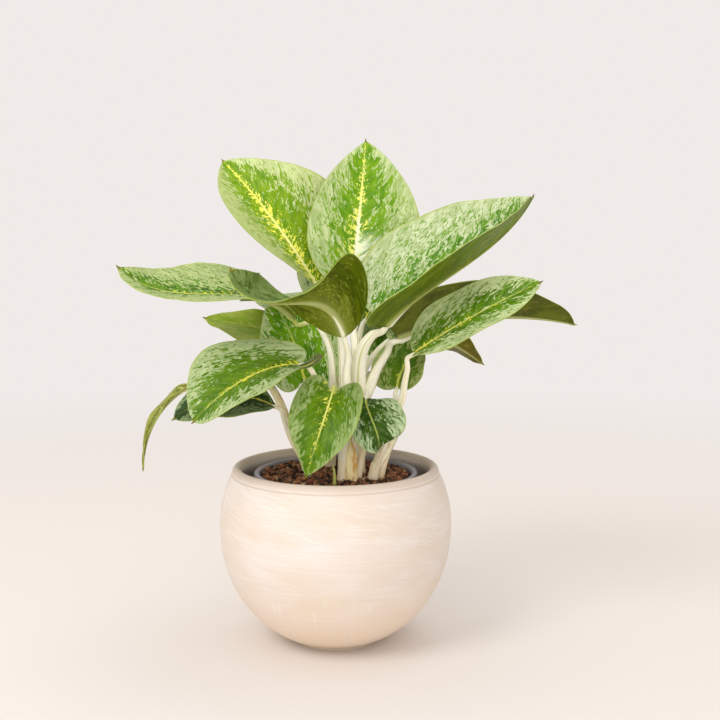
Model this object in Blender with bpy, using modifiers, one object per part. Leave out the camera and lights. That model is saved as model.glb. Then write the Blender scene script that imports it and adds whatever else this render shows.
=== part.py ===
"""A potted chinese evergreen: round pot, nursery pot, soil, cream shoots and variegated leaf blades."""

import math

import bmesh
import bpy
from mathutils import Vector

MM = 0.001
NAME = "potted_chinese_evergreen"
GAP = 0.3

# Pot, in mm. The side is a slightly squared ball, cut by the mouth and standing on a short foot.
POT_HEIGHT = 133
POT_RADIUS = 86.5
POT_WIDEST_Z = 89
POT_LOWER_REACH = 93
POT_UPPER_REACH = 82
POT_ROUNDNESS = 2.08
POT_WALL = 5.5
POT_FOOT_RADIUS = 31
POT_FOOT_HEIGHT = 3
POT_FLOOR_Z = 12
POT_MOUTH_RADIUS = 70
POT_LIP_Z = 128
POT_TURNS = 44

# Nursery pot, in mm
NURSERY_TOP_Z = 128
NURSERY_RIM_RADIUS = 61
NURSERY_RIM_HEIGHT = 5
NURSERY_TOP_RADIUS = 58.5
NURSERY_BOTTOM_RADIUS = 36
NURSERY_WALL = 1.4
NURSERY_TURNS = 40
DRAIN_HOLES = 6
DRAIN_RADIUS = 3.5
DRAIN_RING = 24

# Soil, in mm
SOIL_EDGE_Z = 125
SOIL_MOUND = 3
SOIL_LUMP = 0.9
SOIL_RINGS = 7

# Leaf blades and their stalks, in mm
BLADE_EDGE = 0.9
BLADE_RIB = 2.4
BLADE_ROWS = 12
BLADE_COLUMNS = 6
BLADE_BASE = 2.2
BLADE_TIP = 0.7
WAVES = 2
STALK_STEP = 11
STALK_BASE_RADIUS = 2.6
STALK_END_RADIUS = 1.6
STALK_ROOT = 5
STALK_LEAVES = 14
STALK_STRAIGHT = 6
BURIED_Z = 102
CANE_BASE_Z = 122
CANE_END = 0.4

# The small shoot at the front, in mm
SPEAR_FOOT = (-1, -40)
SPEAR_RADIUS = 1.5
SPEAR_BEND_Z = 134
SPEAR_TIP_Z = 141


def pair(value):
    """The same value for both halves, unless two are given."""
    return value if isinstance(value, tuple) else (value, value)


def leaf(name, shoot, rib, face, widths, fold, stalk, curl=(0, 0), face_tip=None, widest=0.38,
         sharp=0.78, lobe=(0, 0), wave=1.2, radii=(STALK_BASE_RADIUS, STALK_END_RADIUS)):
    """One leaf. Seen from its base with its upper side facing up, pairs are (left half, right half).

    rib: points of the midrib from base to tip. face: where the upper side faces at the base, and
    face_tip at the tip. fold: degrees by which a half stands up from flat at the rib. curl: degrees
    by which it bends further up on the way to its margin. widest: where along the blade it is widest.
    sharp: how soon it narrows to its tip. lobe: how far its base reaches back. wave: height of the
    margin's waves. stalk: points from the cane to the blade. radii: of the stalk at its two ends.
    """
    return {
        "name": name,
        "shoot": shoot,
        "rib": [Vector(p) for p in rib],
        "face": Vector(face),
        "face_tip": Vector(face_tip or face),
        "widths": widths,
        "fold": fold,
        "curl": curl,
        "widest": pair(widest),
        "sharp": pair(sharp),
        "lobe": lobe,
        "wave": wave,
        "stalk": [Vector(p) for p in stalk],
        "radii": radii,
    }


# Each shoot's cane: foot on the soil, top, and its two radii
CANES = {
    "shoot_left": ((-21, 2), (-22, 1, 138), (4.2, 3.2)),
    "shoot_inner_left": ((-5, 16), (-3, 6, 178), (4.6, 3.4)),
    "shoot_front": ((6, -30), (6, -27, 172), (4.8, 3.4)),
    "shoot_centre": ((16, -10), (17, -11, 192), (5.4, 5.0)),
    "shoot_right": ((26, -24), (29, -23, 138), (4.2, 3.4)),
    "shoot_back": ((12, 22), (11, 22, 167), (5.0, 3.8)),
}

LEAVES = [
    leaf("leaf_top_left", "shoot_front",
         rib=[(-14, 12, 267), (-50, 16, 320), (-85, 42, 359)],
         face=(0.4, -0.85, 0.3), face_tip=(-0.05, -0.97, 0.1), widths=(24, 54), fold=(8, 0),
         curl=(14, 8), widest=(0.58, 0.33), sharp=(0.66, 0.98),
         stalk=[(5, -20, 182), (5, -15, 202), (4, -8, 226), (0, 4, 248)]),
    leaf("leaf_top_centre", "shoot_centre",
         rib=[(12, 10, 262), (18, 17, 318), (23, 30, 373)],
         face=(-0.05, -0.97, 0.25), widths=(38, 47), fold=(10, 0), curl=(10, 0), sharp=(0.88, 0.8),
         stalk=[(16, -5, 202), (14, 0, 226), (12, 6, 246)]),
    leaf("leaf_front_tall", "shoot_front",
         rib=[(6, -32, 232), (-22, -52, 258), (-50, -70, 261), (-70, -72, 281)],
         face=(-0.1, 0.9, 0.6), face_tip=(0.5, -1.1, 0.8), widths=(45, 29), fold=(42, 4),
         widest=(0.4, 0.5), sharp=(0.75, 0.5),
         stalk=[(8, -26, 192), (8, -27, 205), (9, -29, 218)]),
    leaf("leaf_right_big", "shoot_centre",
         rib=[(37, -8, 238), (81, -20, 274), (121, -22, 305), (141, -20, 331)],
         face=(-0.6, -0.45, 0.66), widths=(53, 56), fold=(40, 45), lobe=(6, 2), widest=0.32,
         sharp=0.62, stalk=[(17, -12, 208), (20, -11, 221), (27, -10, 231)], radii=(5, 2)),
    leaf("leaf_left_long", "shoot_inner_left",
         rib=[(-30, 2, 242), (-90, -19, 262), (-125, -22, 265), (-154, -24, 281)],
         face=(0.1, -0.2, 0.95), face_tip=(0.1, -0.55, 0.8), widths=(28, 38), fold=(18, 10),
         widest=(0.45, 0.38),
         stalk=[(-2, 1, 197), (-3, 2, 214), (-7, 5, 227), (-16, 6, 239)]),
    leaf("leaf_left_small", "shoot_inner_left",
         rib=[(-33, 25, 227), (-69, 42, 234), (-101, 50, 239)],
         face=(0.1, -0.5, 0.85), widths=(26, 19), fold=(10, 10),
         stalk=[(-6, 14, 192), (-16, 21, 212)]),
    leaf("leaf_left_front", "shoot_left",
         rib=[(-25, -34, 213), (-50, -52, 211), (-77, -68, 197), (-97, -72, 178)],
         face=(-0.2, -0.6, 0.75), widths=(23, 45), fold=(8, 0), lobe=(0, 34), widest=0.52,
         sharp=0.62, stalk=[(-17, -6, 158), (-13, -22, 184), (-15, -30, 203)]),
    leaf("leaf_left_low", "shoot_left",
         rib=[(-44, -16, 180), (-79, -26, 189), (-116, -30, 173)],
         face=(0.0, -0.6, 0.8), widths=(25, 20), fold=(10, 10), widest=0.5,
         stalk=[(-31, -1, 154), (-37, -8, 167)]),
    leaf("leaf_left_thin", "shoot_left",
         rib=[(-107, -12, 195), (-123, -12, 183), (-136, -12, 163), (-142, -12, 133)],
         face=(-0.85, -0.3, 0.4), widths=(8, 8), fold=(12, 12),
         stalk=[(-33, 6, 154), (-40, 6, 176), (-53, 7, 196), (-74, 4, 208), (-94, -5, 205)]),
    leaf("leaf_centre_back", "shoot_inner_left",
         rib=[(-23, 3, 195), (-32, 14, 226), (-49, 20, 257)],
         face=(0.15, -0.9, 0.4), widths=(28, 33), fold=(5, 0), lobe=(12, 12),
         stalk=[(-8, 12, 167), (-15, 8, 183)]),
    leaf("leaf_front_heart", "shoot_front",
         rib=[(-2, -42, 194), (-10, -62, 172), (-21, -62, 137)],
         face=(0.0, -0.6, 0.8), widths=(25, 25), fold=(10, 10), widest=0.34, sharp=0.98, lobe=(17, 17),
         stalk=[(4, -31, 176), (1, -35, 187)]),
    leaf("leaf_front_low", "shoot_front",
         rib=[(22, -24, 187), (25, -40, 176), (30, -47, 162), (31, -44, 153)],
         face=(0.1, -0.6, 0.8), widths=(24, 21), fold=(10, 10), widest=0.5, sharp=0.5,
         stalk=[(13, -27, 160), (19, -23, 178)]),
    leaf("leaf_right_front", "shoot_right",
         rib=[(55, -26, 219), (90, -44, 244), (141, -58, 272)],
         face=(-0.3, -0.6, 0.75), widths=(30, 22), fold=(8, 8), lobe=(2, 0),
         widest=(0.36, 0.55), sharp=(0.64, 0.58),
         stalk=[(39, -22, 163), (48, -20, 184), (50, -20, 196), (52, -22, 208)]),
    leaf("leaf_right_far", "shoot_centre",
         rib=[(46, 8, 226), (101, 18, 240), (146, 22, 241), (181, 22, 236)],
         face=(0.0, 0.5, 0.85), widths=(20, 36), fold=(58, 30), lobe=(6, 6), widest=0.28, sharp=0.62,
         stalk=[(24, -12, 190), (30, -8, 205), (38, 0, 217)], radii=(3.6, 2.2)),
    leaf("leaf_right_low", "shoot_back",
         rib=[(64, 24, 230), (91, 30, 220), (113, 33, 205)],
         face=(0.3, 0.5, 0.8), widths=(22, 16), fold=(10, 10),
         stalk=[(18, 18, 192), (27, 18, 210), (42, 20, 225)]),
    leaf("leaf_right_back", "shoot_right",
         rib=[(45, -4, 191), (51, 3, 207), (65, 9, 224)],
         face=(-0.3, -0.8, 0.4), widths=(23, 20), fold=(10, 20), lobe=(5, 5),
         stalk=[(39, -15, 148), (46, -9, 162), (48, -6, 174)]),
    leaf("leaf_back_high", "shoot_back",
         rib=[(1, 28, 240), (0, 76, 282), (-4, 128, 294)],
         face=(0.0, -0.35, 0.95), face_tip=(0.0, 0.3, 0.95), widths=(32, 33), fold=(14, 14),
         stalk=[(7, 25, 192), (3, 26, 220)]),
    leaf("leaf_back_high_right", "shoot_back",
         rib=[(22, 22, 240), (54, 58, 278), (86, 98, 292)],
         face=(-0.2, -0.25, 0.95), face_tip=(0.2, 0.2, 0.95), widths=(36, 36), fold=(14, 14),
         stalk=[(14, 22, 192), (17, 20, 220)]),
    leaf("leaf_back_high_left", "shoot_back",
         rib=[(-10, 36, 224), (-42, 74, 247), (-77, 104, 249)],
         face=(0.2, -0.25, 0.95), face_tip=(-0.2, 0.2, 0.95), widths=(34, 34), fold=(12, 12),
         stalk=[(4, 30, 186), (-3, 33, 208)]),
    leaf("leaf_back_left", "shoot_back",
         rib=[(-16, 36, 192), (-48, 74, 216), (-82, 104, 204)],
         face=(0.1, -0.2, 0.95), face_tip=(-0.3, 0.35, 0.9), widths=(34, 34), fold=(12, 12),
         stalk=[(4, 31, 162), (-7, 34, 180)]),
    leaf("leaf_back_right", "shoot_back",
         rib=[(34, 36, 207), (62, 68, 238), (96, 102, 236)],
         face=(-0.1, -0.2, 0.95), face_tip=(0.3, 0.35, 0.9), widths=(34, 26), fold=(12, 12),
         stalk=[(18, 27, 174), (26, 31, 193)]),
    leaf("leaf_back_middle", "shoot_back",
         rib=[(7, 42, 170), (2, 82, 186), (-4, 118, 160)],
         face=(0.0, -0.2, 0.95), face_tip=(0.0, 0.5, 0.8), widths=(30, 30), fold=(12, 12), lobe=(6, 6),
         stalk=[(11, 32, 150), (9, 37, 162)]),
    leaf("leaf_back_low", "shoot_back",
         rib=[(21, 38, 148), (32, 68, 164), (40, 96, 148)],
         face=(0.0, -0.2, 0.95), face_tip=(0.2, 0.5, 0.8), widths=(24, 24), fold=(12, 12), lobe=(6, 6),
         stalk=[(15, 29, 137), (18, 33, 142)]),
]


def clear_scene():
    for obj in list(bpy.data.objects):
        bpy.data.objects.remove(obj)


def new_collection(name, parent=None):
    collection = bpy.data.collections.new(name)
    (parent or bpy.context.scene.collection).children.link(collection)
    return collection


def finish(name, colour, roughness):
    material = bpy.data.materials.new(name)
    material.use_nodes = True
    shader = material.node_tree.nodes["Principled BSDF"]
    shader.inputs["Base Color"].default_value = (*colour, 1)
    shader.inputs["Roughness"].default_value = roughness
    shader.inputs["Metallic"].default_value = 0
    return material


def object_from(bm, name, collection):
    mesh = bpy.data.meshes.new(name)
    bm.to_mesh(mesh)
    bm.free()
    obj = bpy.data.objects.new(name, mesh)
    collection.objects.link(obj)
    return obj


def turned(name, profile, turns, collection):
    """A solid of revolution about Z. The profile runs up the inside, over the lip and down the outside."""
    bm = bmesh.new()
    points = [bm.verts.new((r * MM, 0, z * MM)) for r, z in profile]
    for a, b in zip(points, points[1:]):
        bm.edges.new((a, b))
    obj = object_from(bm, name, collection)
    screw = obj.modifiers.new("turn", "SCREW")
    screw.steps = screw.render_steps = turns
    screw.use_merge_vertices = True
    screw.merge_threshold = 0.00005
    screw.use_smooth_shade = True
    return obj


def applied(obj):
    """Replaces the object's mesh by its evaluated one, with no modifiers left."""
    graph = bpy.context.evaluated_depsgraph_get()
    mesh = bpy.data.meshes.new_from_object(obj.evaluated_get(graph))
    obj.modifiers.clear()
    obj.data = mesh
    return obj


def pot_side(z, inset=0.0):
    """Radius of the pot's side at a height, or of the same side moved inwards."""
    rise = z - POT_WIDEST_Z
    reach = (POT_UPPER_REACH if rise > 0 else POT_LOWER_REACH) - inset
    share = min(1.0, abs(rise / reach)) ** POT_ROUNDNESS
    return (POT_RADIUS - inset) * (1 - share) ** (1 / POT_ROUNDNESS)


def pot_profile():
    inside = [(0, POT_FLOOR_Z), (NURSERY_BOTTOM_RADIUS + 3, POT_FLOOR_Z)]
    inside += [(pot_side(z, POT_WALL), z) for z in range(20, POT_LIP_Z - 8, 16)]
    lip_outer = pot_side(POT_LIP_Z)
    lip_middle = (lip_outer + POT_MOUTH_RADIUS) / 2
    lip = [(POT_MOUTH_RADIUS + 1, POT_LIP_Z - 4), (POT_MOUTH_RADIUS, POT_LIP_Z)]
    half_width = (lip_outer - POT_MOUTH_RADIUS) / 2
    rise = POT_HEIGHT - POT_LIP_Z
    for step in range(1, 6):
        angle = math.pi * (1 - step / 6)
        lip.append((lip_middle + half_width * math.cos(angle), POT_LIP_Z + rise * math.sin(angle)))
    outside = [(pot_side(z), z) for z in range(POT_LIP_Z, POT_FOOT_HEIGHT, -11)]
    foot = [(pot_side(POT_FOOT_HEIGHT), POT_FOOT_HEIGHT), (POT_FOOT_RADIUS + 0.8, POT_FOOT_HEIGHT - 1.2),
            (POT_FOOT_RADIUS, 0), (0, 0)]
    return inside + lip + outside + foot


def make_pot(collection):
    pot = turned("pot", pot_profile(), POT_TURNS, collection)
    pot.data.materials.append(finish("pot", (0.86, 0.76, 0.65), 0.85))


def nursery_wall(z):
    """Outer radius of the nursery pot's tapering wall."""
    share = (z - POT_FLOOR_Z) / (NURSERY_TOP_Z - POT_FLOOR_Z)
    return NURSERY_BOTTOM_RADIUS + (NURSERY_TOP_RADIUS - NURSERY_BOTTOM_RADIUS) * share


def make_nursery_pot(collection, cutters):
    foot_z = POT_FLOOR_Z + GAP
    floor_z = foot_z + NURSERY_WALL
    rim_z = NURSERY_TOP_Z - NURSERY_RIM_HEIGHT
    profile = [
        (0, floor_z),
        (nursery_wall(floor_z) - NURSERY_WALL, floor_z),
        (nursery_wall(NURSERY_TOP_Z) - NURSERY_WALL, NURSERY_TOP_Z),
        (NURSERY_RIM_RADIUS - 0.4, NURSERY_TOP_Z),
        (NURSERY_RIM_RADIUS, NURSERY_TOP_Z - 0.6),
        (NURSERY_RIM_RADIUS, rim_z),
        (nursery_wall(rim_z), rim_z - 0.5),
        (nursery_wall(foot_z), foot_z),
        (0, foot_z),
    ]
    nursery = turned("nursery_pot", profile, NURSERY_TURNS, collection)
    nursery.data.materials.append(finish("nursery_pot", (0.45, 0.44, 0.5), 0.5))
    applied(nursery)
    for index in range(DRAIN_HOLES):
        angle = 2 * math.pi * index / DRAIN_HOLES
        place = Vector((DRAIN_RING * math.cos(angle), DRAIN_RING * math.sin(angle), foot_z))
        cutter = rod("drain_cutter", place, DRAIN_RADIUS, 4 * NURSERY_WALL, cutters)
        cut(nursery, cutter)


def rod(name, centre, radius, length, collection, sides=12):
    """An upright cylinder about a centre, as a hidden helper."""
    bm = bmesh.new()
    bmesh.ops.create_cone(bm, cap_ends=True, segments=sides, radius1=radius * MM, radius2=radius * MM,
                          depth=length * MM)
    obj = object_from(bm, name, collection)
    obj.location = centre * MM
    obj.hide_render = True
    obj.display_type = "WIRE"
    return obj


def cut(obj, cutter):
    boolean = obj.modifiers.new(cutter.name, "BOOLEAN")
    boolean.operation = "DIFFERENCE"
    boolean.solver = "EXACT"
    boolean.object = cutter


def soil_height(x, y):
    """Height of the soil's top, mounded in the middle with seeded lumps."""
    top_radius = nursery_wall(SOIL_EDGE_Z) - NURSERY_WALL
    share = min(1.0, math.hypot(x, y) / top_radius)
    lumps = math.sin(x / 6.1 + 0.8) * math.sin(y / 5.3 + 2.1) + 0.6 * math.sin(x / 3.7 + y / 4.9)
    return SOIL_EDGE_Z + SOIL_MOUND * (1 - share ** 2) + SOIL_LUMP * lumps * (1 - share ** 4)


def make_soil(collection, cutters):
    floor_z = POT_FLOOR_Z + NURSERY_WALL + 2 * GAP
    inset = NURSERY_WALL + GAP
    top_radius = nursery_wall(SOIL_EDGE_Z) - inset
    rings = [top_radius * ring / SOIL_RINGS for ring in range(SOIL_RINGS + 1)]
    profile = [(r, SOIL_EDGE_Z) for r in rings] + [(nursery_wall(floor_z) - inset, floor_z), (0, floor_z)]
    soil = applied(turned("soil", profile, NURSERY_TURNS, collection))
    for vertex in soil.data.vertices:
        if vertex.co.z > (SOIL_EDGE_Z - 1) * MM:
            vertex.co.z = soil_height(vertex.co.x / MM, vertex.co.y / MM) * MM
    soil.data.materials.append(finish("soil", (0.12, 0.065, 0.04), 0.95))
    for name, (foot, _, radii) in CANES.items():
        cut(soil, hole_for(name, Vector((*foot, 0)), radii[0], cutters))
    cut(soil, hole_for("spear_shoot", Vector((*SPEAR_FOOT, 0)), SPEAR_RADIUS, cutters))


def hole_for(name, foot, radius, cutters):
    """A plain hole that leaves the gap round a stem's buried end and under it."""
    bottom = BURIED_Z - GAP
    centre = foot + Vector((0, 0, (bottom + POT_HEIGHT) / 2))
    return rod(name + "_hole", centre, radius + 2 * GAP, POT_HEIGHT - bottom, cutters)


def spline_point(points, t):
    """A point on the smooth curve through the points, for t from 0 to 1."""
    spans = len(points) - 1
    span = min(int(t * spans), spans - 1)
    f = t * spans - span
    p1 = points[span]
    p2 = points[span + 1]
    p0 = points[span - 1] if span > 0 else 2 * p1 - p2
    p3 = points[span + 2] if span + 2 <= spans else 2 * p2 - p1
    bend = (2 * p0 - 5 * p1 + 4 * p2 - p3) * f ** 2 + (3 * p1 - p0 - 3 * p2 + p3) * f ** 3
    return 0.5 * (2 * p1 + (p2 - p0) * f + bend)


def tube(name, points, radii, collection, end=1.0):
    """A tapering stem through the points, as a closed mesh. end: share of its radius left at its end."""
    length = sum((b - a).length for a, b in zip(points, points[1:]))
    count = max(3, round(length / STALK_STEP))
    data = bpy.data.curves.new(name, "CURVE")
    data.dimensions = "3D"
    data.bevel_depth = MM
    data.bevel_resolution = 2
    data.use_fill_caps = True
    line = data.splines.new("POLY")
    line.points.add(count)
    for index in range(count + 1):
        t = index / count
        line.points[index].co = (*(spline_point(points, t) * MM), 1)
        line.points[index].radius = (radii[0] + (radii[1] - radii[0]) * t) * (end if index == count else 1)
    guide = bpy.data.objects.new(name, data)
    collection.objects.link(guide)
    graph = bpy.context.evaluated_depsgraph_get()
    mesh = bpy.data.meshes.new_from_object(guide.evaluated_get(graph))
    bpy.data.objects.remove(guide)
    bm = bmesh.new()
    bm.from_mesh(mesh)
    bmesh.ops.remove_doubles(bm, verts=bm.verts, dist=0.00001)
    return object_from(bm, name, collection)


def joined(obj, helpers):
    """Unites the object with every object of a collection, then removes those."""
    boolean = obj.modifiers.new("grown_together", "BOOLEAN")
    boolean.operation = "UNION"
    boolean.solver = "EXACT"
    boolean.operand_type = "COLLECTION"
    boolean.collection = helpers
    applied(obj)
    for helper in list(helpers.objects):
        bpy.data.objects.remove(helper)
    bpy.data.collections.remove(helpers)


def rib_point(spec, t):
    """A point on the midrib: the polynomial through its points, spaced by their distances."""
    points = spec["rib"]
    places = [0.0]
    for a, b in zip(points, points[1:]):
        places.append(places[-1] + (b - a).length)
    places = [p / places[-1] for p in places]
    total = Vector((0, 0, 0))
    for i, point in enumerate(points):
        weight = 1.0
        for j, place in enumerate(places):
            if j != i:
                weight *= (t - place) / (places[i] - place)
        total += point * weight
    return total


def rib_way(spec, t):
    """Unit vector along the midrib."""
    step = 0.01
    return (rib_point(spec, min(1, t + step)) - rib_point(spec, max(0, t - step))).normalized()


def rib_up(spec, t):
    """Unit vector square to the midrib on the blade's upper side."""
    along = rib_way(spec, t)
    face = spec["face"].lerp(spec["face_tip"], t)
    return (face - along * face.dot(along)).normalized()


def blade_share(spec, t, half):
    """Width of a half blade at t as a share of its widest: rounded at the base, drawn out at the tip."""
    sharp = spec["sharp"][half]
    widest = spec["widest"][half]
    blunt = sharp * widest / (1 - widest)
    most = widest ** blunt * (1 - widest) ** sharp
    return t ** blunt * (1 - t) ** sharp / most


def blade_point(spec, u, t):
    """A point of the blade's upper side: u runs from -1 at the left margin to 1 at the right."""
    along = rib_way(spec, t)
    up = rib_up(spec, t)
    side = along.cross(up)
    half = 1 if u > 0 else 0
    sign = 1 if u > 0 else -1
    least = BLADE_BASE + (BLADE_TIP - BLADE_BASE) * t
    share = blade_share(spec, t, half)
    width = max(least, spec["widths"][half] * share)
    reach = abs(u)
    open_up = min(1.0, width / (4 * BLADE_BASE))
    angle = math.radians(spec["fold"][half] + spec["curl"][half] * reach / 2) * open_up
    ruffle = spec["wave"] * reach ** 2 * math.sin(2 * math.pi * WAVES * t + sign) * open_up
    outwards = side * (sign * math.cos(angle)) + up * math.sin(angle)
    back = along * (-spec["lobe"][half] * reach ** 2 * 2 * share * (1 - t) ** 5)
    return rib_point(spec, t) + outwards * (width * reach) + up * ruffle + back


def make_blade(spec, collection):
    """A blade: a flat grid bent by the leaf's formula, thickened below with a stouter rib."""
    bm = bmesh.new()
    bmesh.ops.create_grid(bm, x_segments=BLADE_COLUMNS, y_segments=BLADE_ROWS, size=1)
    ribs = {}
    for vertex in bm.verts:
        u = vertex.co.x
        row = (vertex.co.y + 1) / 2
        t = row - 0.11 * math.sin(2 * math.pi * row)
        ribs[vertex.index] = max(0.0, 1 - 3 * abs(u)) * (1 - 0.8 * t)
        vertex.co = blade_point(spec, u, t) * MM
    bmesh.ops.triangulate(bm, faces=bm.faces, quad_method="FIXED")
    blade = object_from(bm, spec["name"], collection)
    rib = blade.vertex_groups.new(name="rib")
    for index, weight in ribs.items():
        rib.add([index], weight, "REPLACE")
    thick = blade.modifiers.new("thickness", "SOLIDIFY")
    thick.thickness = BLADE_RIB * MM
    thick.offset = -1
    thick.vertex_group = "rib"
    thick.thickness_vertex_group = BLADE_EDGE / BLADE_RIB
    thick.material_offset = 1
    thick.material_offset_rim = 1
    blade.data.shade_smooth()
    blade.data.materials.append(finish(spec["name"], (0.28, 0.48, 0.16), 0.45))
    blade.data.materials.append(finish(spec["name"] + "_below", (0.16, 0.24, 0.04), 0.6))
    return blade


def make_shoot(name, collection):
    """A cane with the stalks of its leaves, grown together in one solid."""
    foot, top, radii = CANES[name]
    base = Vector((*foot, CANE_BASE_Z))
    cane = tube(name, [Vector((*foot, BURIED_Z)), base, base.lerp(Vector(top), 0.5), Vector(top)],
                radii, collection, end=CANE_END)
    stalks = new_collection(name + "_stalks", collection)
    for spec in LEAVES:
        if spec["shoot"] != name:
            continue
        way = rib_way(spec, 0)
        end = spec["rib"][0] - rib_up(spec, 0) * (BLADE_RIB / 2)
        first = spec["stalk"][0]
        height = min(top[2] - STALK_ROOT, first.z - STALK_LEAVES)
        root = base.lerp(Vector(top), max(0, (height - base.z) / (top[2] - base.z)))
        points = [root] + spec["stalk"] + [end - way * STALK_STRAIGHT, end - way * 2 * GAP]
        tube(spec["name"] + "_stalk", points, spec["radii"], stalks)
    joined(cane, stalks)
    cane.data.shade_smooth()
    cane.data.materials.clear()
    cane.data.materials.append(finish(name, (0.83, 0.82, 0.62), 0.45))


def make_spear(collection):
    x, y = SPEAR_FOOT
    points = [Vector((x, y, z)) for z in (BURIED_Z, CANE_BASE_Z, SPEAR_BEND_Z)]
    points.append(Vector((x - 1, y, SPEAR_TIP_Z)))
    spear = tube("spear_shoot", points, (SPEAR_RADIUS, 0.5), collection)
    spear.data.materials.append(finish("spear_shoot", (0.75, 0.8, 0.4), 0.5))


def main():
    clear_scene()
    plant = new_collection(NAME)
    cutters = new_collection("cutters")
    make_pot(plant)
    make_nursery_pot(plant, cutters)
    make_soil(plant, cutters)
    make_spear(plant)
    for name in CANES:
        make_shoot(name, plant)
    for spec in LEAVES:
        make_blade(spec, plant)


main()
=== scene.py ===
"""Potted chinese evergreen: the looks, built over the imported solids.

Leaf blades, shoots, soil and both pots are made again here with finer meshes of the same form.
"""

import functools
import math
import random

import bpy
from mathutils import Euler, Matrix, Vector, noise


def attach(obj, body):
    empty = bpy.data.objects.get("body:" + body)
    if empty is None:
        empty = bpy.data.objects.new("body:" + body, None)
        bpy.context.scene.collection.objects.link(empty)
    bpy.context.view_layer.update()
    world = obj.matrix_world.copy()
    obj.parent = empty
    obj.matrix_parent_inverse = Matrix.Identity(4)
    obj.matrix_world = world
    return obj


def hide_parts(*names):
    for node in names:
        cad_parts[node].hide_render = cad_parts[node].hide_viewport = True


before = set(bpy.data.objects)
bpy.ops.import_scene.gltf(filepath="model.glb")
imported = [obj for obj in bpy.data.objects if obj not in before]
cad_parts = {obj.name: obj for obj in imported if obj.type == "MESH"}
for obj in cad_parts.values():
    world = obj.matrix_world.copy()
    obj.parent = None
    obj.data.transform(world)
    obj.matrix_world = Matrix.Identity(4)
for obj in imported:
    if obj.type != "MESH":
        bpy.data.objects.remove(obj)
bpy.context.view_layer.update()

MM = 0.001

# Camera, as in the photograph
LENS_MM = 60.4
SENSOR_MM = 36
CAMERA_PLACE = (0, -0.888, 0.315)
CAMERA_PITCH = -6.65
CAMERA_YAW = -1.17

# Pot, in mm, as in the solids
POT_HEIGHT = 133
POT_RADIUS = 86.5
POT_WIDEST_Z = 89
POT_LOWER_REACH = 93
POT_UPPER_REACH = 82
POT_ROUNDNESS = 2.08
POT_WALL = 5.5
POT_FOOT_RADIUS = 31
POT_FOOT_HEIGHT = 3
POT_FLOOR_Z = 12
POT_MOUTH_RADIUS = 70
POT_LIP_Z = 128
GROOVE_Z = POT_LIP_Z - 0.9
GROOVE_WIDTH = 0.7
GROOVE_DEPTH = 0.5
TURNS = 160

# Nursery pot and soil, in mm, as in the solids
GAP = 0.3
NURSERY_TOP_Z = 128
NURSERY_RIM_RADIUS = 61
NURSERY_RIM_HEIGHT = 5
NURSERY_TOP_RADIUS = 58.5
NURSERY_BOTTOM_RADIUS = 36
NURSERY_WALL = 1.4
SOIL_EDGE_Z = 125
SOIL_MOUND = 3
SOIL_LUMP = 0.9

# Leaf blades and stalks, in mm, as in the solids
BLADE_RIB = 2.4
BLADE_BASE = 2.2
BLADE_TIP = 0.7
WAVES = 2
VEIN_SLANT = 0.65
LEAF_GLOSS = 0.15
STALK_BASE_RADIUS = 2.6
STALK_END_RADIUS = 1.6
STALK_ROOT = 5
STALK_LEAVES = 14
STALK_STRAIGHT = 6
CANE_BASE_Z = 122
SPEAR_FOOT = (-1, -40)
SPEAR_RADIUS = 1.5
SPEAR_BEND_Z = 134
SPEAR_TIP_Z = 141

# The soil's bed and crumbs: how many of each kind, and the ball that each crumb starts from
SOIL_SEED = 11
SOIL_RINGS = 40
SOIL_TURNS = 120
SMALL_CRUMBS = 1500
LARGE_CRUMBS = 420
BARK_CHIPS = 90
FIBRES = 110
FIBRE_STEPS = 7
BED_MARK = (0.35, 0.3, 0.0)
CRUMB_LONG = 1.618 / 1.9
CRUMB_SHORT = 1 / 1.9
CRUMB_POINTS = []
for place in range(3):
    for long in (CRUMB_LONG, -CRUMB_LONG):
        for short in (-CRUMB_SHORT, CRUMB_SHORT):
            corner = (short, long, 0)
            CRUMB_POINTS.append(corner[3 - place:] + corner[:3 - place])
CRUMB_FACES = [
    (0, 11, 5), (0, 5, 1), (0, 1, 7), (0, 7, 10), (0, 10, 11), (1, 5, 9), (5, 11, 4), (11, 10, 2),
    (10, 7, 6), (7, 1, 8), (3, 9, 4), (3, 4, 2), (3, 2, 6), (3, 6, 8), (3, 8, 9), (4, 9, 5), (2, 4, 11),
    (6, 2, 10), (8, 6, 7), (9, 8, 1),
]

# Floor and room, in metres but for the fade in mm, and the place that the lights point at
FLOOR_REACH = 8.0
FLOOR_COLOUR = (228, 222, 217)
FLOOR_FADE = (350, 1400)
WALL_COLOUR = (240, 235, 232)
BLACK = (0, 0, 0)
WORLD_STRENGTH = 1.0
LIT_PLACE = Vector((0, 0, 0.2))

# Fineness of the meshes, how rows and columns crowd at a leaf's ends and rib, and where canes face
ROWS = 64
ROW_CROWDING = 0.11
COLUMNS = 18
COLUMN_CROWDING = 0.35
SPIKE_ROWS = 5
STEM_SIDES = 20
STEM_STEP = 2.5
FACING = Vector((0, -1, 0.01))

# Finer leaf forms, in mm, and the seeds that set one half or leaf apart from the next
SPIKE = 2.4
TAIL = 34
TAIL_STEP = 3
RIB_GROOVE = 0.75
RIB_GROOVE_WIDTH = 1.5
KEEL_WIDTH = 1.9
MARGIN_THICKNESS = 0.5
VEIN_SPACING = 6.4
VEIN_HEIGHT = 0.16
PUCKER_LENGTH = 16
HALF_SEED = 37
LEAF_SEED = 11.3


def srgb(red, green, blue):
    """Linear colour from the usual 0 to 255 values."""
    shares = (red / 255, green / 255, blue / 255)
    return tuple(s / 12.92 if s <= 0.04 else ((s + 0.055) / 1.055) ** 2.4 for s in shares)


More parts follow.
